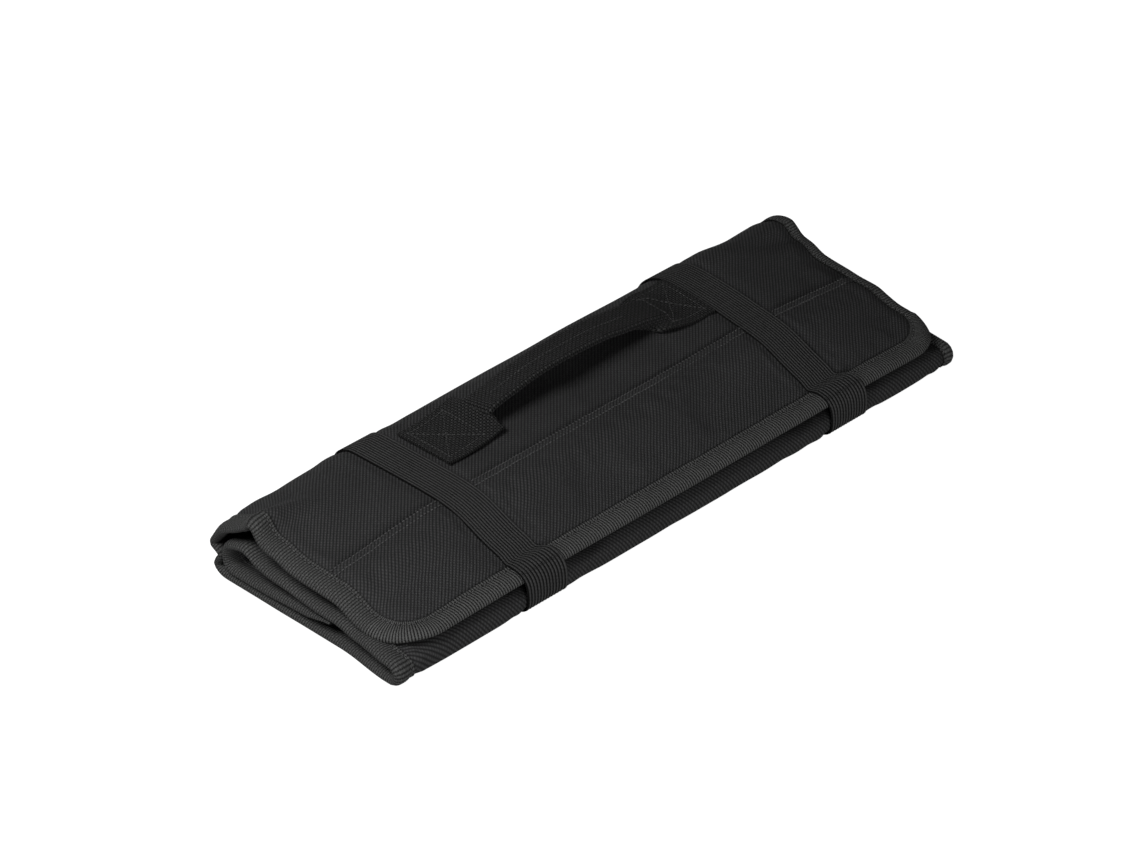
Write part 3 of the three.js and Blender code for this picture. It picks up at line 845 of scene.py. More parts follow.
def front_edge():
    """Rounded corners and front of the flap, from left to right."""
    angle = np.linspace(0, math.pi / 2, CORNER_STATIONS)
    path = []
    for side in (-1, 1):
        centre_x = float(flap_end(side, FLAP_FRONT)) - side * CORNER_RADIUS
        away = np.stack([side * np.cos(angle), -np.sin(angle)], -1)
        centre = np.array([centre_x, FLAP_FRONT + CORNER_RADIUS])
        path.append(np.concatenate([centre + away * CORNER_RADIUS, -away], -1))
    xs = np.arange(path[0][-1, 0], path[1][-1, 0], TAPE_STATIONS)[1:]
    edge = np.stack([xs, np.full_like(xs, FLAP_FRONT), 0 * xs, np.ones_like(xs)], -1)
    x, y, in_x, in_y = np.concatenate([path[0], edge, path[1][::-1]]).T
    height = flap_mid(x, y)
    slope = (flap_mid(x + in_x * TAPE_WIDTH, y + in_y * TAPE_WIDTH) - height) / TAPE_WIDTH
    return np.stack([x, y, height, in_x, in_y, slope], -1)


def whole_edge():
    """One continuous edge, and the stations where the three lengths of tape meet."""
    left = resample(end_edge(-1)[::-1], TAPE_STATIONS)
    front = resample(front_edge(), TAPE_STATIONS)
    right = resample(end_edge(1), TAPE_STATIONS)
    line = np.concatenate([left, front[1:-1], right])
    return line, len(left) - 1, len(left) + len(front) - 2


edge_line, joint_left, joint_right = whole_edge()
edge_at = edge_line[:, :3]
edge_in = edge_line[:, 3:]
tangent = np.gradient(edge_at, axis=0)
edge_out = np.cross(tangent, edge_in)
edge_out /= np.linalg.norm(edge_out, axis=1, keepdims=True)
if edge_out[(joint_left + joint_right) // 2, 2] < 0:
    edge_out = -edge_out
edge_run = run_of(edge_at)
print(f"bound edge: {edge_run[-1]:.0f} mm in {len(edge_at)} stations")


# %% Sweep the tape
GATHER_HEIGHT = 0.16
GATHER_WAVE = (2.6, 1.1, 13.0, 7.7, 0.4)
GATHER_FADE = 6.0
FULLNESS = 0.07
FULL_WAVE = (19.0, 1.7, 8.3)
SLIM_SHARE = 0.3
SLIM_REACH = 22.0
SHORTER_RUN = (24.0, 8.0)


def gathers(run):
    """Small waves along the tape."""
    return GATHER_HEIGHT * uneven_wave(run, *GATHER_WAVE)


def fullness(run):
    """The tape is a little fuller in some places than in others."""
    length, start, beat = FULL_WAVE
    return 1.0 + FULLNESS * np.sin(run / length + start) * np.sin(run / beat)


def slimness(run):
    """The tape flattens where the inner panel's free edge is squeezed between its neighbours."""
    return SLIM_SHARE + (1 - SLIM_SHARE) * smooth(np.minimum(run, edge_run[-1] - run), 0, SLIM_REACH)


def leg_share(run):
    """On the right end the tape was sewn on with shorter legs."""
    meeting = edge_run[joint_right]
    return 1.0 - RIGHT_SHORTER / TAPE_WIDTH * smooth(run, meeting - SHORTER_RUN[0], meeting + SHORTER_RUN[1])


def tape_length(name, first, last):
    """Sweeps the section along the edge, from one station to another."""
    section = tape_section()
    away = section[:, 0:1]
    around = run_of(section)
    points = []
    flats = []
    for k in range(first, last + 1):
        run = edge_run[k]
        up = section[:, 1:2] * fullness(run) * slimness(run) + gathers(run) * smooth(away, 0, GATHER_FADE)
        points.append(edge_at[k] + edge_in[k] * away * leg_share(run) + edge_out[k] * up)
        flats.append(np.stack([around, np.full(len(section), run)], -1))
    rows = len(points)
    cols = len(section)
    faces = grid_faces(rows, cols, 0, True)
    faces += [tuple(range(cols)), tuple(range((rows - 1) * cols, rows * cols))]
    piece = make_object(name, np.concatenate(points), faces, np.concatenate(flats))
    face_outwards(piece)
    for cap in piece.data.polygons[-2:]:
        cap.use_smooth = False
    return piece


tape_left = tape_length("tape_left", 0, joint_left)
tape_front = tape_length("tape_front", joint_left, joint_right)
tape_right = tape_length("tape_right", joint_right, len(edge_at) - 1)
print("tape points:", [len(piece.data.vertices) for piece in (tape_left, tape_front, tape_right)])

# %% [markdown]
# ## Elastic bands
# Each band is a ring of ribbed elastic. It lies stretched and narrow on the flap, dips behind the
# bound edge, and stands off wider over the front fold. Its path follows the cloth, and a smoothing
# pass pulls it taut as a real band would be. The ribs are real relief, a rib every two millimetres.

# %% Path of a band
BAND_STEP = 2.0
BAND_START = 3.0
BAND_POINTS = 34
TAPE_TOP = 2.6
TAPE_LIFT = 0.8
TAPE_EDGE = FLAP_FRONT + TAPE_WIDTH
OVER_TAPE = (3.0, 1.5)
BAND_SINK = 0.65
DIP = (1.5, TAPE_EDGE + 1.6, 4.0)
LAP_ZONE = (SEAM_Y - SEAM_WIDTH - 1, SEAM_Y + 1)
FRONT_CUT = 1.2
FACES_UP = 0.5
TAUT_PASSES = 26
TAUT_HEIGHT = (20.0, 26.0)
TAUT_FRONT = (24.0, 32.0)
TAUT_REAR = (26.0, 36.0)


def band_nose(x):
    """Where a band rounds the bag's front: over the fold and up to the flap's edge."""
    edge = float(flap_mid(x, FLAP_FRONT))
    return np.array([
        [FRONT - 0.2, 4.2], [FRONT - 0.9, 8.0], [FRONT - 0.9, 12.0],
        [FRONT - 0.2, edge - 1.2], [FLAP_FRONT - 1.2, edge + 1.4], [FLAP_FRONT + 0.9, edge + TAPE_TOP + 0.4],
    ])


def band_path(x):
    """Closed (y, z) path of a band's middle, from the flap's front edge over the bag and back."""
    flap_y = np.linspace(FLAP_FRONT + BAND_START, SEAM_Y, BAND_POINTS)
    flap_part = np.stack([flap_y, flap_mid(x, flap_y)], -1)
    low = UNDER[:BOTTOM_STEPS - 1 + FOLD_STEPS // 2 + 1]
    path = np.concatenate([flap_part, spine_profile(x)[1:], low])
    normal = normals_of(path)
    y = path[:, 0]
    up = normal[:, 1] > FACES_UP
    down = np.clip(-normal[:, 1], 0, 1)
    lap = np.where((y > LAP_ZONE[0]) & up & (y < LAP_ZONE[1]), 0.5 * SEAM_RISE, 0.0)
    over_tape = 1 - smooth(y, TAPE_EDGE - OVER_TAPE[0], TAPE_EDGE + OVER_TAPE[1])
    away = HALF_PAD + CLEAR + BAND / 2 + lap - BAND_GROOVE * down - BAND_SINK * (1 - down)
    away = away - fold(y, DIP) * up + over_tape * up * (TAPE_TOP - HALF_PAD + TAPE_LIFT)
    wrapped = path + normal * away[:, None]
    keep = wrapped[:, 0] > FRONT + FRONT_CUT
    keep |= np.arange(len(wrapped)) < len(flap_part)
    return np.concatenate([wrapped[keep], band_nose(x)])


def taut(path, passes, free):
    """Pulls a ring straight where free is 1."""
    for _ in range(passes):
        pulled = 0.5 * path + 0.25 * (np.roll(path, 1, 0) + np.roll(path, -1, 0))
        path = path + (pulled - path) * free[:, None]
    return path


def band_ring(x):
    """The band's path in even steps, pulled taut over the flap."""
    path = band_path(x)
    closed = np.concatenate([path, path[:1]])
    flat_path = np.concatenate([closed, np.zeros((len(closed), 1))], -1)
    ring = resample(flat_path, BAND_STEP)[:-1, :2]
    ring = taut(ring, 1, np.ones(len(ring)))
    y, z = ring.T
    on_top = smooth(z, *TAUT_HEIGHT) * smooth(y, FLAP_FRONT + TAUT_FRONT[0], FLAP_FRONT + TAUT_FRONT[1])
    return taut(ring, TAUT_PASSES, on_top * (1 - smooth(y, *TAUT_REAR)))


# %% Section of a band
RIBS = 13
RIB_DEPTH = 0.34
RIB_POINTS = 7
RIB_ROUNDNESS = 0.8
SELVEDGE = 0.45
SELVEDGE_RISE = 0.5
BAND_SKIN = 0.1
NARROWER = 3.4
WIDER = 1.6
TOP_HEIGHT = (12.0, 24.0)
FRONT_LOOP = (3.0, 5.0)
TOP_LEAN = 0.45
TOP_RIBS = 0.7


def band_piece(name, centre, lean):
    """Ribbed ring. lean is how far the front loop is drawn sideways."""
    shares = np.linspace(-0.5, 0.5, RIBS * RIB_POINTS + 1)
    path = band_ring(centre)
    count = len(path)
    normal = normals_of(path, ring=True)
    front = smooth(-path[:, 0], -TAPE_EDGE - FRONT_LOOP[0], -TAPE_EDGE + FRONT_LOOP[1])
    top = smooth(path[:, 1], *TOP_HEIGHT) * (1 - front)
    width = BAND_WIDTH - NARROWER * top + WIDER * front
    shift = lean * (front - TOP_LEAN * top)
    rib = np.abs(np.sin(np.pi * RIBS * (shares + 0.5))) ** RIB_ROUNDNESS
    selvedge = np.abs(shares) > 0.5 - SELVEDGE / RIBS
    rib = np.where(selvedge, np.minimum(rib + SELVEDGE_RISE, 1.0), rib)
    x = centre + shares[:, None] * width + shift
    y = np.broadcast_to(path[:, 0], x.shape)
    z = np.broadcast_to(path[:, 1], x.shape)
    out = np.broadcast_to(np.stack([np.zeros(count), normal[:, 0], normal[:, 1]], -1), (*x.shape, 3))
    depth = RIB_DEPTH * (TOP_RIBS + (1 - TOP_RIBS) * front)
    base = np.full(x.shape, BAND / 2 - BAND_SKIN)
    run = run_of(np.concatenate([path, path[:1]]))[:-1]
    flat = np.stack(np.broadcast_arrays((shares[:, None] + 0.5) * BAND_WIDTH, run[None]), -1)
    over = base + (rib[:, None] - 1) * depth + BAND_SKIN
    return shell(name, np.stack([x, y, z], -1), out, over, base, flat, ring=True)


band_left = band_piece("band_left", BAND_LEFT, 1.0)
band_right = band_piece("band_right", BAND_RIGHT, 2.4)
print("band triangles:", 2 * len(band_left.data.polygons))

# %% [markdown]
# ## Carry handle
# One length of webbing lies flat under a stitched box at each end. Between them both of its sides
# are turned under and sewn together, which makes a narrow, thick grip. The webbing is treated as a
# strip that bends but never stretches: a table along the handle says how high it stands, how far
# each side is turned under and how tight that bend is. On the left the webbing doubles back over
# itself before it rises, on the right its sides open slowly.

# %% Handle strip
STRIP_COLUMNS = 61
STRIP_STATIONS = 190
HANDLE_START = BAND_LEFT + BAND_WIDTH / 2 + CLEAR
HANDLE_STOP = BAND_RIGHT - BAND_WIDTH / 2 - CLEAR
HANDLE_Y = FRONT + HANDLE_AT
LEAST_BEND = 0.9
LEAST_ROOM = 1.0
LANDING = 0.01
FULL_TURN = (1.35, 1.85)
LOOSE = (0.6, 5.0)
LEVEL_AT = np.array([-0.25, 0.0, 0.25]) * WEB_WIDTH

# x, lift over the cloth, turn of the front side, turn of the rear side (radians), bend radius, tilt
HANDLE_ROWS = np.array([
    [HANDLE_START, 0.9, 0.0, 0.0, 2.0, 0.0],
    [HANDLE_START + 2.5, 0.6, 0.0, 0.0, 2.0, 0.0],
    [HANDLE_START + 7, 0.0, 0.0, 0.0, 2.0, 0.0],
    [-78.0, 0.0, 0.0, 0.0, 2.0, 0.0],
    [-68.0, 0.6, 0.0, 0.0, 2.0, 0.0],
    [-61.0, 2.2, 0.05, 0.1, 2.0, 0.03],
    [-55.6, 4.5, 0.2, 0.25, 1.8, 0.05],
    [-52.2, 5.8, 0.45, 0.5, 1.6, 0.04],
    [-51.2, 5.9, 1.1, 1.2, 1.3, 0.0],
    [-53.6, 5.2, 2.2, 2.2, 1.1, -0.08],
    [-54.4, 6.0, 2.9, 2.9, 1.0, -0.15],
    [-50.0, 7.9, 3.14, 3.14, 0.95, -0.20],
    [-38.0, 9.4, 3.14, 3.14, 0.95, -0.22],
    [-20.0, 12.0, 3.14, 3.14, 0.95, -0.18],
    [5.0, 13.2, 3.14, 3.14, 0.95, -0.11],
    [28.0, 12.0, 3.14, 3.14, 0.95, -0.05],
    [40.0, 9.9, 3.14, 3.14, 0.95, 0.0],
    [46.0, 8.9, 3.05, 2.95, 0.95, 0.01],
    [51.0, 8.1, 2.75, 2.4, 1.0, 0.02],
    [55.5, 7.4, 2.35, 1.9, 1.0, 0.02],
    [60.0, 6.4, 1.8, 1.45, 1.1, 0.02],
    [64.5, 5.3, 1.3, 1.1, 1.2, 0.02],
    [69.0, 4.1, 0.9, 0.75, 1.4, 0.01],
    [74.0, 2.7, 0.55, 0.42, 1.7, 0.0],
    [79.0, 1.4, 0.28, 0.2, 2.2, 0.0],
    [86.0, 0.3, 0.08, 0.05, 2.4, 0.0],
    [HANDLE_STOP, 0.0, 0.0, 0.0, 2.0, 0.0],
])


def side_of_strip(turn, bend, room, width):
    """(y, z) of one side of the strip's section, walking out from its centre line.
    It bends down by turn, and where it meets the cloth, room below, it runs on along it."""
    start = GRIP_WIDTH / 2 - bend
    heading = np.clip((width - start) / bend, 0, turn)
    step = np.diff(width, prepend=0.0)
    fallen = np.cumsum(step * np.sin(heading))
    landed = smooth(fallen, max(room - bend, 0.0), room + LANDING)
    rest = math.pi * smooth(turn, *FULL_TURN)
    heading = heading * (1 - landed) + rest * landed
    middle_heading = heading - 0.5 * np.diff(heading, prepend=0.0)
    return np.cumsum(step * np.cos(middle_heading)), -np.cumsum(step * np.sin(middle_heading))


def strip_section(front_turn, rear_turn, bend, room):
    """(y, z) of the strip's section, from its front edge to its rear one."""
    reach = np.linspace(0, WEB_WIDTH / 2, STRIP_COLUMNS // 2 + 1)
    front_y, front_z = side_of_strip(front_turn, bend, room, reach)
    rear_y, rear_z = side_of_strip(rear_turn, bend, room, reach)
    y = np.concatenate([-front_y[:0:-1], rear_y])
    z = np.concatenate([front_z[:0:-1], rear_z])
    return y, z


def handle_grid():
    """The table at even steps along the handle, and the points of the strip's middle."""
    chord = run_of(HANDLE_ROWS[:, :2])
    even = np.linspace(0, chord[-1], STRIP_STATIONS)
    table = np.stack([flowing(chord, HANDLE_ROWS[:, k], even) for k in range(HANDLE_ROWS.shape[1])], -1)
    rows = []
    for x, lift, front_turn, rear_turn, bend, tilt in table:
        lift = max(lift, 0.0)
        turns = np.clip([front_turn, rear_turn], 0, math.pi)
        y, z = strip_section(*turns, max(bend, LEAST_BEND), max(lift, LEAST_ROOM))
        loose = float(smooth(lift, *LOOSE))
        on_cloth = flap_mid(x, HANDLE_Y + y)
        level = float(np.max(flap_mid(x, HANDLE_Y + LEVEL_AT)))
        gap = HALF_PAD + CLEAR + WEB / 2
        height = on_cloth * (1 - loose) + level * loose + gap + lift + z + tilt * y
        height = np.maximum(height, on_cloth + gap)
        rows.append(np.stack([np.full_like(y, x), HANDLE_Y + y, height], -1))
    return table, np.array(rows)


def make_handle():
    """The webbing, and its table, middle surface and normals, which the stitches follow."""
    table, middle = handle_grid()
    normal = np.cross(np.gradient(middle, axis=0), np.gradient(middle, axis=1))
    normal /= np.maximum(np.linalg.norm(normal, axis=-1, keepdims=True), TINY)
    half = np.full(middle.shape[:2], WEB / 2)
    width = np.linspace(-WEB_WIDTH / 2, WEB_WIDTH / 2, STRIP_COLUMNS)
    run = run_of(middle[:, STRIP_COLUMNS // 2])
    flat = np.stack(np.broadcast_arrays(width[None, :], run[:, None]), -1)
    piece = shell("handle_webbing", middle, normal, half, half, flat)
    subdivide(piece)
    return piece, table, middle, normal


handle, handle_table, handle_middle, handle_normal = make_handle()
handle_top = float(handle_middle[..., 2].max()) + WEB / 2
print("handle points:", len(handle.data.vertices), "top", round(handle_top, 1))

# %% [markdown]
# ## Stitches
# Each line of thread is a polyline. A Geometry Nodes tree walks along it and sets one small stitch
# at each step. The tree has named inputs for pitch, length and thickness, and ends in real geometry,
# because instances aren't exported.

# %% Stitch tree
STITCH_DEFAULTS = {"Pitch": 0.003, "Length": 0.002, "Thickness": 0.0007}
BALL = {"Segments": 6, "Rings": 5, "Radius": 0.5}
STITCH_NODES = {
    "given": "NodeGroupInput",
    "result": "NodeGroupOutput",
    "to curve": "GeometryNodeMeshToCurve",
    "walk": "GeometryNodeResampleCurve",
    "ball": "GeometryNodeMeshUVSphere",
    "size": "ShaderNodeCombineXYZ",
    "heading": "GeometryNodeInputTangent",
    "turn": "FunctionNodeAlignRotationToVector",
    "place": "GeometryNodeInstanceOnPoints",
    "real": "GeometryNodeRealizeInstances",
    "soften": "GeometryNodeSetShadeSmooth",
    "dress": "GeometryNodeSetMaterial",
}
STITCH_LINKS = (
    ("given", "Geometry", "to curve", "Mesh"),
    ("to curve", "Curve", "walk", "Curve"),
    ("given", "Pitch", "walk", "Length"),
    ("walk", "Curve", "place", "Points"),
    ("ball", "Mesh", "place", "Instance"),
    ("given", "Length", "size", "X"),
    ("given", "Thickness", "size", "Y"),
    ("given", "Thickness", "size", "Z"),
    ("size", "Vector", "place", "Scale"),
    ("heading", "Tangent", "turn", "Vector"),
    ("turn", "Rotation", "place", "Rotation"),
    ("place", "Instances", "real", "Geometry"),
    ("real", "Geometry", "soften", "Geometry"),
    ("soften", "Geometry", "dress", "Geometry"),
    ("given", "Thread", "dress", "Material"),
    ("dress", "Geometry", "result", "Geometry"),
)


def stitch_tree():
    tree = bpy.data.node_groups.new("Stitch line", "GeometryNodeTree")
    face = tree.interface
    face.new_socket(name="Geometry", in_out="INPUT", socket_type="NodeSocketGeometry")
    for label, value in STITCH_DEFAULTS.items():
        face.new_socket(name=label, in_out="INPUT", socket_type="NodeSocketFloat").default_value = value
    face.new_socket(name="Thread", in_out="INPUT", socket_type="NodeSocketMaterial")
    face.new_socket(name="Geometry", in_out="OUTPUT", socket_type="NodeSocketGeometry")
    nodes = {label: tree.nodes.new(kind) for label, kind in STITCH_NODES.items()}
    nodes["walk"].mode = "LENGTH"
    nodes["turn"].axis = "X"
    for label, value in BALL.items():
        nodes["ball"].inputs[label].default_value = value
    for source, output, target, label in STITCH_LINKS:
        tree.links.new(nodes[source].outputs[output], nodes[target].inputs[label])
    return tree


STITCH_TREE = stitch_tree()


def stitches(name, lines, stitch, thread):
    """Sews along lines of points and returns a plain mesh object. stitch: pitch, length, thickness."""
    points = np.concatenate(lines) * MM
    edges = []
    start = 0
    for line in lines:
        edges += [(start + k, start + k + 1) for k in range(len(line) - 1)]
        start += len(line)
    mesh = bpy.data.meshes.new(name)
    mesh.from_pydata(points.tolist(), edges, [])
    guide = add_object(name + "_guide", mesh)
    modifier = guide.modifiers.new("stitch", "NODES")
    modifier.node_group = STITCH_TREE
    values = {label: size * MM for label, size in zip(STITCH_DEFAULTS, stitch)}
    values["Thread"] = thread
    for item in STITCH_TREE.interface.items_tree:
        if item.in_out == "INPUT" and item.name in values:
            modifier[item.identifier] = values[item.name]
    depsgraph = bpy.context.evaluated_depsgraph_get()
    sewn = bpy.data.meshes.new_from_object(guide.evaluated_get(depsgraph))
    sewn.name = name
    bpy.data.objects.remove(guide)
    bpy.data.meshes.remove(mesh)
    print(f"{name}: {len(sewn.polygons)} faces")
    return add_object(name, sewn)


# %% [markdown]
# ## Shared shader effects
# Cloth, tape, elastic and webbing all are woven, so one node group draws threads that pass over and
# under each other. It reads the flat coordinates of a piece and puts out a height and a mask of the
# upper thread. A second group gives slow patches of lighter and darker cloth, and a third paints a line of
# shade along a piece.

# %% Node helpers
def link(tree, source, target):
    tree.links.new(source, target)


def feed(tree, socket, value):
    """Links another socket, or sets a plain value."""
    if isinstance(value, bpy.types.NodeSocket):
        tree.links.new(value, socket)
    else:
        socket.default_value = value


def calc(tree, operation, *values):
    """One maths node, and its result."""
    node = tree.nodes.new("ShaderNodeMath")
    node.operation = operation
    for socket, value in zip(node.inputs, values):
        feed(tree, socket, value)
    return node.outputs[0]


def new_group(name, inputs, outputs):
    tree = bpy.data.node_groups.new(name, "ShaderNodeTree")
    for label, kind, value in inputs:
        socket = tree.interface.new_socket(name=label, in_out="INPUT", socket_type=kind)
        if value is not None:
            socket.default_value = value
    for label, kind in outputs:
        tree.interface.new_socket(name=label, in_out="OUTPUT", socket_type=kind)
    return tree, tree.nodes.new("NodeGroupInput"), tree.nodes.new("NodeGroupOutput")


# %% Weave group
PATCH_DETAIL = 3.0
PATCH_ROUGHNESS = 0.6


def weave_group():
    """Threads that pass over and under each other."""
    tree, given, result = new_group(
        "Woven threads",
        [("Flat", "NodeSocketVector", None), ("Across pitch", "NodeSocketFloat", 0.001),
         ("Along pitch", "NodeSocketFloat", 0.001), ("Crimp", "NodeSocketFloat", 0.5),
         ("Lengthwise", "NodeSocketFloat", 1.0), ("Crosswise", "NodeSocketFloat", 1.0),
         ("Lean", "NodeSocketFloat", 0.0)],
        [("Height", "NodeSocketFloat"), ("Upper", "NodeSocketFloat")],
    )
    parts = tree.nodes.new("ShaderNodeSeparateXYZ")
    link(tree, given.outputs["Flat"], parts.inputs[0])
    u = calc(tree, "DIVIDE", parts.outputs["X"], given.outputs["Across pitch"])
    v = calc(tree, "DIVIDE", parts.outputs["Y"], given.outputs["Along pitch"])
    wave_u = calc(tree, "SINE", calc(tree, "MULTIPLY", u, math.pi))
    wave_v = calc(tree, "SINE", calc(tree, "MULTIPLY", v, math.pi))
    checker = calc(tree, "MULTIPLY", wave_u, wave_v)
    diagonal = calc(tree, "COSINE", calc(tree, "MULTIPLY", calc(tree, "SUBTRACT", u, v), math.pi))
    lean = given.outputs["Lean"]
    streaks = calc(tree, "MULTIPLY_ADD", calc(tree, "SUBTRACT", diagonal, checker), lean, checker)
    crimp = calc(tree, "MULTIPLY", checker, given.outputs["Crimp"])
    warp = calc(tree, "MULTIPLY", calc(tree, "ABSOLUTE", wave_u), given.outputs["Lengthwise"])
    weft = calc(tree, "MULTIPLY", calc(tree, "ABSOLUTE", wave_v), given.outputs["Crosswise"])
    raised = calc(tree, "MAXIMUM", calc(tree, "ADD", warp, crimp), calc(tree, "SUBTRACT", weft, crimp))
    tallest = calc(tree, "ADD", given.outputs["Crimp"], 1.0)
    link(tree, calc(tree, "DIVIDE", raised, tallest), result.inputs["Height"])
    link(tree, calc(tree, "MULTIPLY_ADD", streaks, 0.5, 0.5), result.inputs["Upper"])
    return tree


def patches_group():
    """Slow patches of lighter and darker cloth."""
    tree, given, result = new_group(
        "Slow patches",
        [("Place", "NodeSocketVector", None), ("Scale", "NodeSocketFloat", 30.0)],
        [("Patches", "NodeSocketFloat")],
    )
    noise = tree.nodes.new("ShaderNodeTexNoise")
    noise.inputs["Detail"].default_value = PATCH_DETAIL
    noise.inputs["Roughness"].default_value = PATCH_ROUGHNESS
    link(tree, given.outputs["Place"], noise.inputs["Vector"])
    link(tree, given.outputs["Scale"], noise.inputs["Scale"])
    link(tree, noise.outputs["Fac"], result.inputs["Patches"])
    return tree


def painted_shade_line_group():
    """Painted shade along a line of a piece, beside a raised edge or in a stitched groove."""
    tree, given, result = new_group(
        "Painted shade line",
        [("Across", "NodeSocketFloat", 0.0), ("Centre", "NodeSocketFloat", 0.0),
         ("Reach", "NodeSocketFloat", 0.001), ("Depth", "NodeSocketFloat", 0.5)],
        [("Shade", "NodeSocketFloat")],
    )
    away = calc(tree, "ABSOLUTE", calc(tree, "SUBTRACT", given.outputs["Across"], given.outputs["Centre"]))
    share = calc(tree, "MINIMUM", calc(tree, "DIVIDE", away, given.outputs["Reach"]), 1.0)
    painted_shade = calc(tree, "SUBTRACT", 1.0, calc(tree, "MULTIPLY", share, share))
    shade = calc(tree, "SUBTRACT", 1.0, calc(tree, "MULTIPLY", painted_shade, given.outputs["Depth"]))
    link(tree, shade, result.inputs["Shade"])
    return tree


WEAVE = weave_group()
PATCHES = patches_group()
PAINTED_SHADE_LINE = painted_shade_line_group()
print("shader groups:", [group.name for group in (WEAVE, PATCHES, PAINTED_SHADE_LINE)])


# %% [markdown]
# ## Finishes
# Each finish is a dark, matte fabric with a soft sheen. They differ in the pitch of their threads,
# how deep the threads stand, how much lighter the upper threads are, and how much painted shade lies
# in the gaps between threads. The tape has two finishes: it is more strongly ribbed round the flap
# than along the two ends, and its colour is painted lighter round the flap and darker along the ends,
# for how the light falls there. On the cloth the upper threads line up in slanting streaks, which
# lean one way on top of the bag and the other way behind and below it.

# %% Fabric finish
STREAKS_TURN = (120.0, 90.0)
# Heights of the weave over which the gaps between threads get painted shade.
VALLEY = (0.25, 0.85)
SLOW_SCALE = 28.0
SLOW_TONE = (0.3, 0.85)
FINE_SCALE = 900.0
FINE_TONE = (0.9, 0.55)
FINE_RELIEF = 0.25
THREAD_SCALE = 700.0
MATTE = {"Roughness": 0.65, "Sheen Weight": 0.02, "Sheen Roughness": 0.45, "Specular IOR Level": 0.08}
SMOOTHER = {"Roughness": 0.55, "Specular IOR Level": 0.2}


def set_inputs(node, values):
    for label, value in values.items():
        node.inputs[label].default_value = value


def place_group(tree, group, **values):
    node = tree.nodes.new("ShaderNodeGroup")
    node.node_tree = group
    for label, value in values.items():
        feed(tree, node.inputs[label.replace("_", " ")], value)
    return node


def map_range(tree, value, source, target=(0.0, 1.0), curve="LINEAR"):
    node = tree.nodes.new("ShaderNodeMapRange")
    node.interpolation_type = curve
    set_inputs(node, dict(zip(("From Min", "From Max", "To Min", "To Max"), (*source, *target))))
    feed(tree, node.inputs["Value"], value)
    return node.outputs["Result"]


def blend(tree, share, dark, light):
    """Colour between a dark and a light one."""
    mix = tree.nodes.new("ShaderNodeMix")
    mix.data_type = "RGBA"
    mix.clamp_factor = False
    feed(tree, mix.inputs["Factor"], share)
    set_inputs(mix, {"A": (*dark, 1), "B": (*light, 1)})
    return mix.outputs["Result"]


def new_finish(name, settings):
    """A material, its node tree, its shader with the given settings, and the piece's own space."""
    material = bpy.data.materials.new(name)
    material.use_nodes = True
    tree = material.node_tree
    shader = tree.nodes["Principled BSDF"]
    set_inputs(shader, settings)
    return material, tree, shader, tree.nodes.new("ShaderNodeTexCoord").outputs["Object"]


def fabric(name, dark, light, pitch, weave, relief_mm, upper_share, gaps, lines=(), lean=0.0):
    """Woven finish. pitch: across and along, in mm; weave: crimp, lengthwise and crosswise shares;
    upper_share and gaps: how far the lower threads are darkened, and how much painted shade is put in
    the gaps between threads; lines: (place across, reach, darkness) of each line of painted shade along
    the piece; lean: how far the upper threads line up in slanting streaks."""
    material, tree, shader, space = new_finish(name, MATTE)
    flat = tree.nodes.new("ShaderNodeUVMap")
    flat.uv_map = "flat"
    parts = tree.nodes.new("ShaderNodeSeparateXYZ")
    link(tree, flat.outputs["UV"], parts.inputs[0])
    turn = [place * MM for place in STREAKS_TURN]
    threads = place_group(
        tree, WEAVE, Flat=flat.outputs["UV"], Across_pitch=pitch[0] * MM, Along_pitch=pitch[1] * MM,
        Crimp=weave[0], Lengthwise=weave[1], Crosswise=weave[2],
        Lean=map_range(tree, parts.outputs["Y"], turn, (-lean, lean)))
    height = threads.outputs["Height"]
    slow = place_group(tree, PATCHES, Place=space, Scale=SLOW_SCALE).outputs[0]
    fine = place_group(tree, PATCHES, Place=space, Scale=FINE_SCALE).outputs[0]
    # Painted shade in the gaps between threads: low places of the weave are darkened by the gaps share.
    valley = map_range(tree, height, VALLEY, curve="SMOOTHSTEP")
    tone = calc(tree, "MULTIPLY_ADD", threads.outputs["Upper"], upper_share, 1.0 - upper_share)
    tone = calc(tree, "MULTIPLY", tone, calc(tree, "MULTIPLY_ADD", valley, gaps, 1.0 - gaps))
    tone = calc(tree, "MULTIPLY", tone, calc(tree, "MULTIPLY_ADD", slow, *SLOW_TONE))
    tone = calc(tree, "MULTIPLY", tone, calc(tree, "MULTIPLY_ADD", fine, *FINE_TONE))
    # Lines of painted shade: beside the tape's raised inner edge, in its stitched groove, and beside the
    # elastic's edge ribs.
    for centre, reach, depth in lines:
        painted_shade = place_group(tree, PAINTED_SHADE_LINE, Across=parts.outputs["X"], Centre=centre * MM,
                           Reach=reach * MM, Depth=depth)
        tone = calc(tree, "MULTIPLY", tone, painted_shade.outputs["Shade"])
    link(tree, blend(tree, tone, dark, light), shader.inputs["Base Color"])
    raised = tree.nodes.new("ShaderNodeBump")
    set_inputs(raised, {"Strength": 1.0, "Distance": relief_mm * MM})
    link(tree, calc(tree, "MULTIPLY_ADD", fine, FINE_RELIEF, height), raised.inputs["Height"])
    link(tree, raised.outputs["Normal"], shader.inputs["Normal"])
    return material


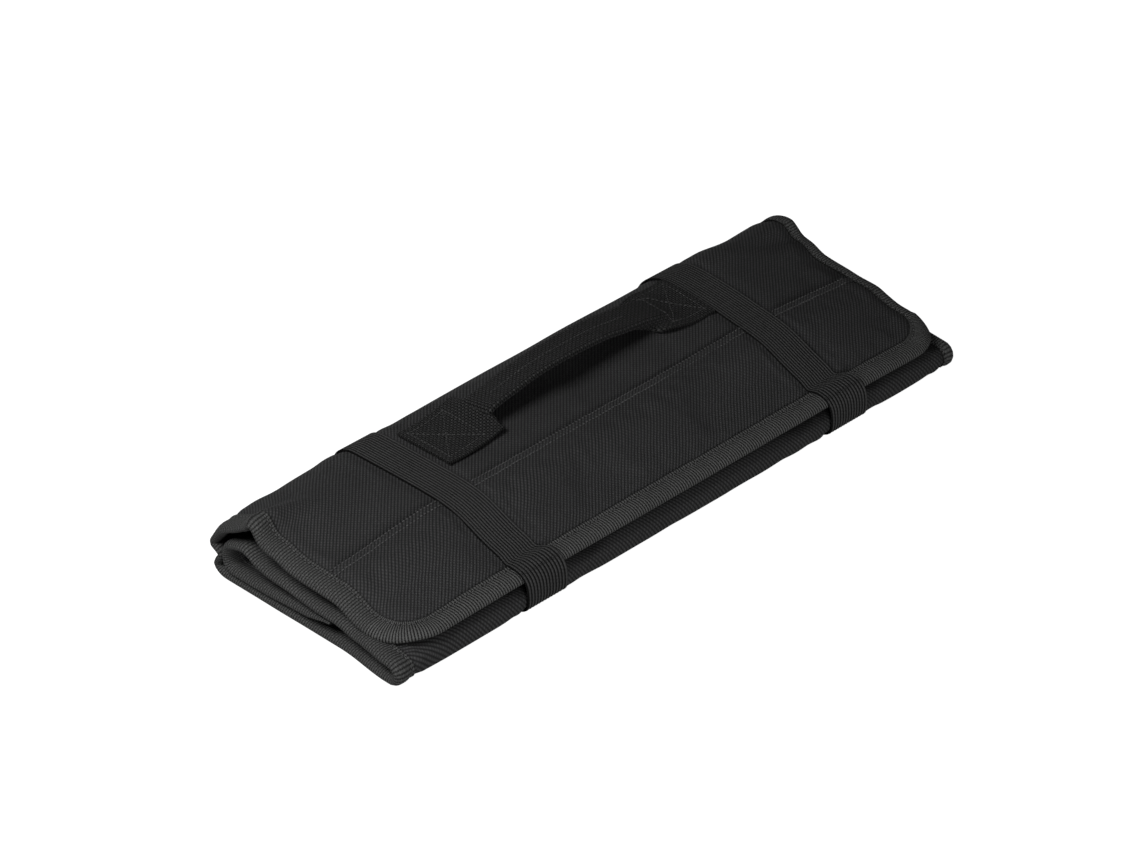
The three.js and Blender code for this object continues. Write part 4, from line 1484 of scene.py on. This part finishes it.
# Painted shade lines, each with its place across, reach and darkness: on the tape beside its raised inner
# edge and in its stitched groove, on the elastic beside its edge ribs.
TAPE_SHADE_LINES = ((0.2, 1.0, 0.9), (2.9, 0.7, 0.6))
BAND_SHADE_LINES = ((1.9, 0.5, 0.5), (23.1, 0.5, 0.5))
DEEP = (0.003, 0.003, 0.003)
CLOTH = fabric("dark cloth", (0.002, 0.002, 0.0021), (0.069, 0.069, 0.070), pitch=(1.13, 1.13),
               weave=(0.5, 1.0, 1.0), relief_mm=0.12, upper_share=0.8, gaps=0.3, lean=0.6)
# The same tape in two colours: painted lighter round the flap and painted darker along the ends, for how the
# light falls on them. The ribbing differs for real.
FRONT_BINDING_PAINTED_LIT = fabric("binding tape", DEEP, (0.178, 0.179, 0.176), pitch=(1.2, 1.6),
                 weave=(0.3, 0.5, 1.0), relief_mm=0.38, upper_share=0.45, gaps=0.95, lines=TAPE_SHADE_LINES)
END_BINDING_PAINTED_SHADE = fabric("end binding tape", DEEP, (0.134, 0.135, 0.133), pitch=(1.2, 1.5),
                     weave=(0.35, 0.6, 1.0), relief_mm=0.3, upper_share=0.55, gaps=0.85, lines=TAPE_SHADE_LINES)
ELASTIC = fabric("ribbed elastic", DEEP, (0.063, 0.063, 0.063), pitch=(BAND_WIDTH / RIBS, 0.9),
                 weave=(0.1, 1.0, 0.35), relief_mm=0.35, upper_share=0.1, gaps=1.0, lines=BAND_SHADE_LINES)
WEBBING = fabric("handle webbing", (0.0, 0.0, 0.0), (0.064, 0.064, 0.064), pitch=(1.25, 1.4),
                 weave=(0.4, 0.9, 1.0), relief_mm=0.9, upper_share=0.7, gaps=1.0)


# %% Thread finish
def thread_finish(name, dark, light):
    material, tree, shader, space = new_finish(name, SMOOTHER)
    share = place_group(tree, PATCHES, Place=space, Scale=THREAD_SCALE).outputs[0]
    link(tree, blend(tree, share, [dark] * 3, [light] * 3), shader.inputs["Base Color"])
    return material


THREAD = thread_finish("sewing thread", 0.03, 0.16)
DARK_THREAD = thread_finish("dark thread", 0.012, 0.11)
print("finishes:", [m.name for m in (CLOTH, FRONT_BINDING_PAINTED_LIT, END_BINDING_PAINTED_SHADE, ELASTIC, WEBBING, THREAD, DARK_THREAD)])

# %% Seam topstitching
# Each stitch: pitch, length and thickness. The thread lies a little over the surface that it holds.
SEAM_STITCH = (2.3, 1.7, 0.6)
TAPE_STITCH = (2.6, 2.0, 0.6)
HANDLE_STITCH = (2.4, 1.9, 0.6)
THREAD_LIFT = 0.05
FIRST_LINE_LIFT = 0.12
BESIDE = 12.0
SEAM_STEP = 1.0
SEAM_START = -HALF + 13.0
SEAM_STOP = HALF - 20.0
SEAM_ENDS = (
    SEAM_START, BAND_LEFT - BESIDE, BAND_LEFT + BESIDE, BAND_RIGHT - BESIDE, BAND_RIGHT + BESIDE, SEAM_STOP,
)


def seam_rows(y, lift):
    """A row of thread along X at one Y, in three lengths with the bands left out."""
    rows = []
    for first, last in zip(SEAM_ENDS[::2], SEAM_ENDS[1::2]):
        xs = np.arange(first, last, SEAM_STEP)
        ys = np.full_like(xs, y)
        top = flap_mid(xs, ys) + HALF_PAD + lap_rise(ys) + pucker(xs, ys)
        rows.append(np.stack([xs, ys, top + lift], -1))
    return rows


seam_lines = seam_rows(LAP_EDGE, FIRST_LINE_LIFT) + seam_rows(SECOND_LINE, THREAD_LIFT)
seam_thread = stitches("seam_thread", seam_lines, SEAM_STITCH, THREAD)


# %% Stitching along the tape
def tape_lines(first, last):
    """Both faces of the stitched line along one length of tape."""
    part = slice(first, last + 1)
    run = edge_run[part]
    up = STITCH_UP * slimness(run) * fullness(run)
    inward = edge_in[part] * STITCH_IN * leg_share(run)[:, None]
    centre = edge_at[part] + inward + edge_out[part] * gathers(run)[:, None]
    return [centre + side * edge_out[part] * (up + THREAD_LIFT)[:, None] for side in (-1, 1)]


tape_thread = stitches("tape_thread", tape_lines(0, len(edge_at) - 1), TAPE_STITCH, THREAD)


# %% Box stitching on the handle
BOX_REACH = 14.5
BOX_START = 4.0
LEFT_BOX = 24.0
RIGHT_BOX = 22.0
LINE_POINTS = 24
RISING_AT = 55.0
GRIP_ENDS = (-44.0, 50.0)
GRIP_LIFT = 7.0


def on_webbing(x, offset, rows):
    """Points on the webbing's top: x along the handle, offset across it, rows: the stations to use."""
    usable = np.arange(*rows)
    at = np.interp(x, handle_table[usable, 0], usable)
    column = (offset / WEB_WIDTH + 0.5) * (STRIP_COLUMNS - 1)
    top = handle_middle + handle_normal * (WEB / 2 + THREAD_LIFT)
    row_low = np.clip(at.astype(int), 0, len(top) - 2)
    col_low = np.clip(column.astype(int), 0, STRIP_COLUMNS - 2)
    s = (at - row_low)[:, None]
    t = (column - col_low)[:, None]
    near = top[row_low, col_low] * (1 - t) + top[row_low, col_low + 1] * t
    far = top[row_low + 1, col_low] * (1 - t) + top[row_low + 1, col_low + 1] * t
    return near * (1 - s) + far * s


def box_lines(left, right, rows):
    """A sewn box with a cross, on the webbing's top."""
    front = -BOX_REACH
    rear = BOX_REACH
    corners = [(left, front), (right, front), (right, rear), (left, rear), (left, front)]
    cross = [[(left, front), (right, rear)], [(left, rear), (right, front)]]
    share = np.linspace(0, 1, LINE_POINTS)[:, None]
    lines = []
    for chain in [corners, *cross]:
        ends = np.array(chain, float)
        places = np.concatenate([a + (b - a) * share for a, b in zip(ends, ends[1:])])
        lines.append(on_webbing(places[:, 0], places[:, 1], rows))
    return lines


def grip_line():
    """The seam down the middle of the grip."""
    centre = STRIP_COLUMNS // 2
    x = handle_table[:, 0]
    on_grip = (x > GRIP_ENDS[0]) & (x < GRIP_ENDS[1]) & (handle_table[:, 1] > GRIP_LIFT)
    return handle_middle[on_grip, centre] + handle_normal[on_grip, centre] * (WEB / 2 + THREAD_LIFT)


turning_back = int(np.argmax(np.diff(handle_table[:, 0]) < 0))
rising = int(np.argmax(handle_table[:, 0] > RISING_AT))
left_box = HANDLE_START + BOX_START
right_box = HANDLE_STOP - BOX_START
handle_lines = box_lines(left_box, left_box + LEFT_BOX, (0, turning_back))
handle_lines += box_lines(right_box - RIGHT_BOX, right_box, (rising, STRIP_STATIONS))
handle_lines.append(grip_line())
handle_thread = stitches("handle_thread", handle_lines, HANDLE_STITCH, DARK_THREAD)


# %% [markdown]
# ## Dressing and joining to the frame
# Each piece gets its finish, rides on the one body of the bag, and stands for the solids that it
# covers.


def keep_off_floor(piece):
    """Nothing sinks into the surface that the bag lies on."""
    places = np.empty(len(piece.data.vertices) * 3, np.float32)
    piece.data.vertices.foreach_get("co", places)
    places[2::3] = np.maximum(places[2::3], 0.0)
    piece.data.vertices.foreach_set("co", places)
    piece.data.update()


def dress(piece, material, nodes=()):
    """Gives a piece its finish and joins it to the bag's body. nodes: the solids it stands for."""
    piece.data.materials.clear()
    piece.data.materials.append(material)
    keep_off_floor(piece)
    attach(piece, BODY)
    if nodes:
        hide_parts(*nodes)
    print(f"{piece.name}: {sum(len(p.vertices) - 2 for p in piece.data.polygons)} triangles")


dress(body, CLOTH, ("spine_panel", "bottom_panel", "middle_panel", "inner_panel"))
dress(flap, CLOTH, ("flap_panel",))
dress(tape_left, END_BINDING_PAINTED_SHADE, ("binding_left",))
dress(tape_right, END_BINDING_PAINTED_SHADE, ("binding_right",))
dress(tape_front, FRONT_BINDING_PAINTED_LIT, ("binding_front",))
dress(band_left, ELASTIC, ("elastic_left",))
dress(band_right, ELASTIC, ("elastic_right",))
dress(handle, WEBBING, ("handle",))
dress(seam_thread, THREAD)
dress(tape_thread, THREAD, ())
dress(handle_thread, DARK_THREAD, ())

# %% [markdown]
# ## Floor, light and camera
# The bag lies on a plain white table. One soft light stands high on the left and one low in front,
# and two weak ones stand behind the bag. Table and surroundings look white to the camera, but give
# little light themselves. The camera looks from the front left, about a third of the way up, through
# a long lens.

# %% Floor
FLOOR_SIZE = 3.0
FLOOR_DROP = 0.0002
FLOOR_TONE = 0.25
FLOOR_GLOW = (0.92, 0.07)
WORLD_GLOW = (0.98, 0.02)
WHITE = (1, 1, 1, 1)


def camera_glow(tree, glow, socket):
    """Bright for the camera and faint for all else. glow: what the camera sees on top, and the rest."""
    ray = tree.nodes.new("ShaderNodeLightPath")
    link(tree, calc(tree, "MULTIPLY_ADD", ray.outputs["Is Camera Ray"], *glow), socket)


def white_floor():
    mesh = bpy.data.meshes.new("floor")
    half = FLOOR_SIZE / 2
    corners = [(-half, -half, 0), (half, -half, 0), (half, half, 0), (-half, half, 0)]
    mesh.from_pydata(corners, [], [(0, 1, 2, 3)])
    floor = add_object("floor", mesh)
    floor.location.z = -FLOOR_DROP
    material = bpy.data.materials.new("white table")
    material.use_nodes = True
    tree = material.node_tree
    shader = tree.nodes["Principled BSDF"]
    set_inputs(shader, {"Base Color": (*[FLOOR_TONE] * 3, 1), "Roughness": 0.9, "Emission Color": WHITE})
    camera_glow(tree, FLOOR_GLOW, shader.inputs["Emission Strength"])
    mesh.materials.append(material)


white_floor()

# %% Lights
LOW_AIM = (0, 0, 0.02)
# Name, place, size and power of each light, and where it points.
LIGHTS = (
    ("softbox left", (-0.62, 0.1, 0.74), (0.4, 0.4), 5.4, (-0.05, 0, 0.02)),
    ("softbox back", (-0.25, 0.95, 0.85), (0.9, 0.4), 0.55, LOW_AIM),
    ("softbox front", (-0.4, -1.15, 0.2), (0.7, 0.3), 5.8, LOW_AIM),
    ("softbox rear", (0.5, 1.1, 0.22), (0.7, 0.3), 0.6, LOW_AIM),
)


def soft_light(name, place, size, power, target):
    """One rectangular area light."""
    data = bpy.data.lights.new(name, "AREA")
    data.shape = "RECTANGLE"
    data.size = size[0]
    data.size_y = size[1]
    data.energy = power
    light = add_object(name, data)
    light.location = place
    aim = Vector(target) - Vector(place)
    light.rotation_euler = aim.to_track_quat("-Z", "Y").to_euler()


def white_world():
    world = bpy.data.worlds.new("studio")
    world.use_nodes = True
    background = world.node_tree.nodes["Background"]
    background.inputs["Color"].default_value = WHITE
    camera_glow(world.node_tree, WORLD_GLOW, background.inputs["Strength"])
    bpy.context.scene.world = world


for row in LIGHTS:
    soft_light(*row)
white_world()
bpy.context.scene.view_settings.view_transform = "Standard"

# %% Camera
AZIMUTH = math.radians(-45.33)
ELEVATION = math.radians(33.3)
DISTANCE = 2.259
LENS = 142.1
SENSOR = 36
AIM = Vector((-1.5, 16.2, 16.0)) * MM

toward_camera = Vector((
    math.sin(AZIMUTH) * math.cos(ELEVATION),
    -math.cos(AZIMUTH) * math.cos(ELEVATION),
    math.sin(ELEVATION),
))
camera_data = bpy.data.cameras.new("camera")
camera_data.sensor_width = SENSOR
camera_data.lens = LENS
camera = add_object("camera", camera_data)
camera.location = AIM + toward_camera * DISTANCE
camera.rotation_mode = "QUATERNION"
camera.rotation_quaternion = (-toward_camera).to_track_quat("-Z", "Y")
bpy.context.scene.camera = camera
print("camera at", [round(v, 3) for v in camera.location])

# %% [markdown]
# ## End of the scene

# %% End of the scene
print("scene built")
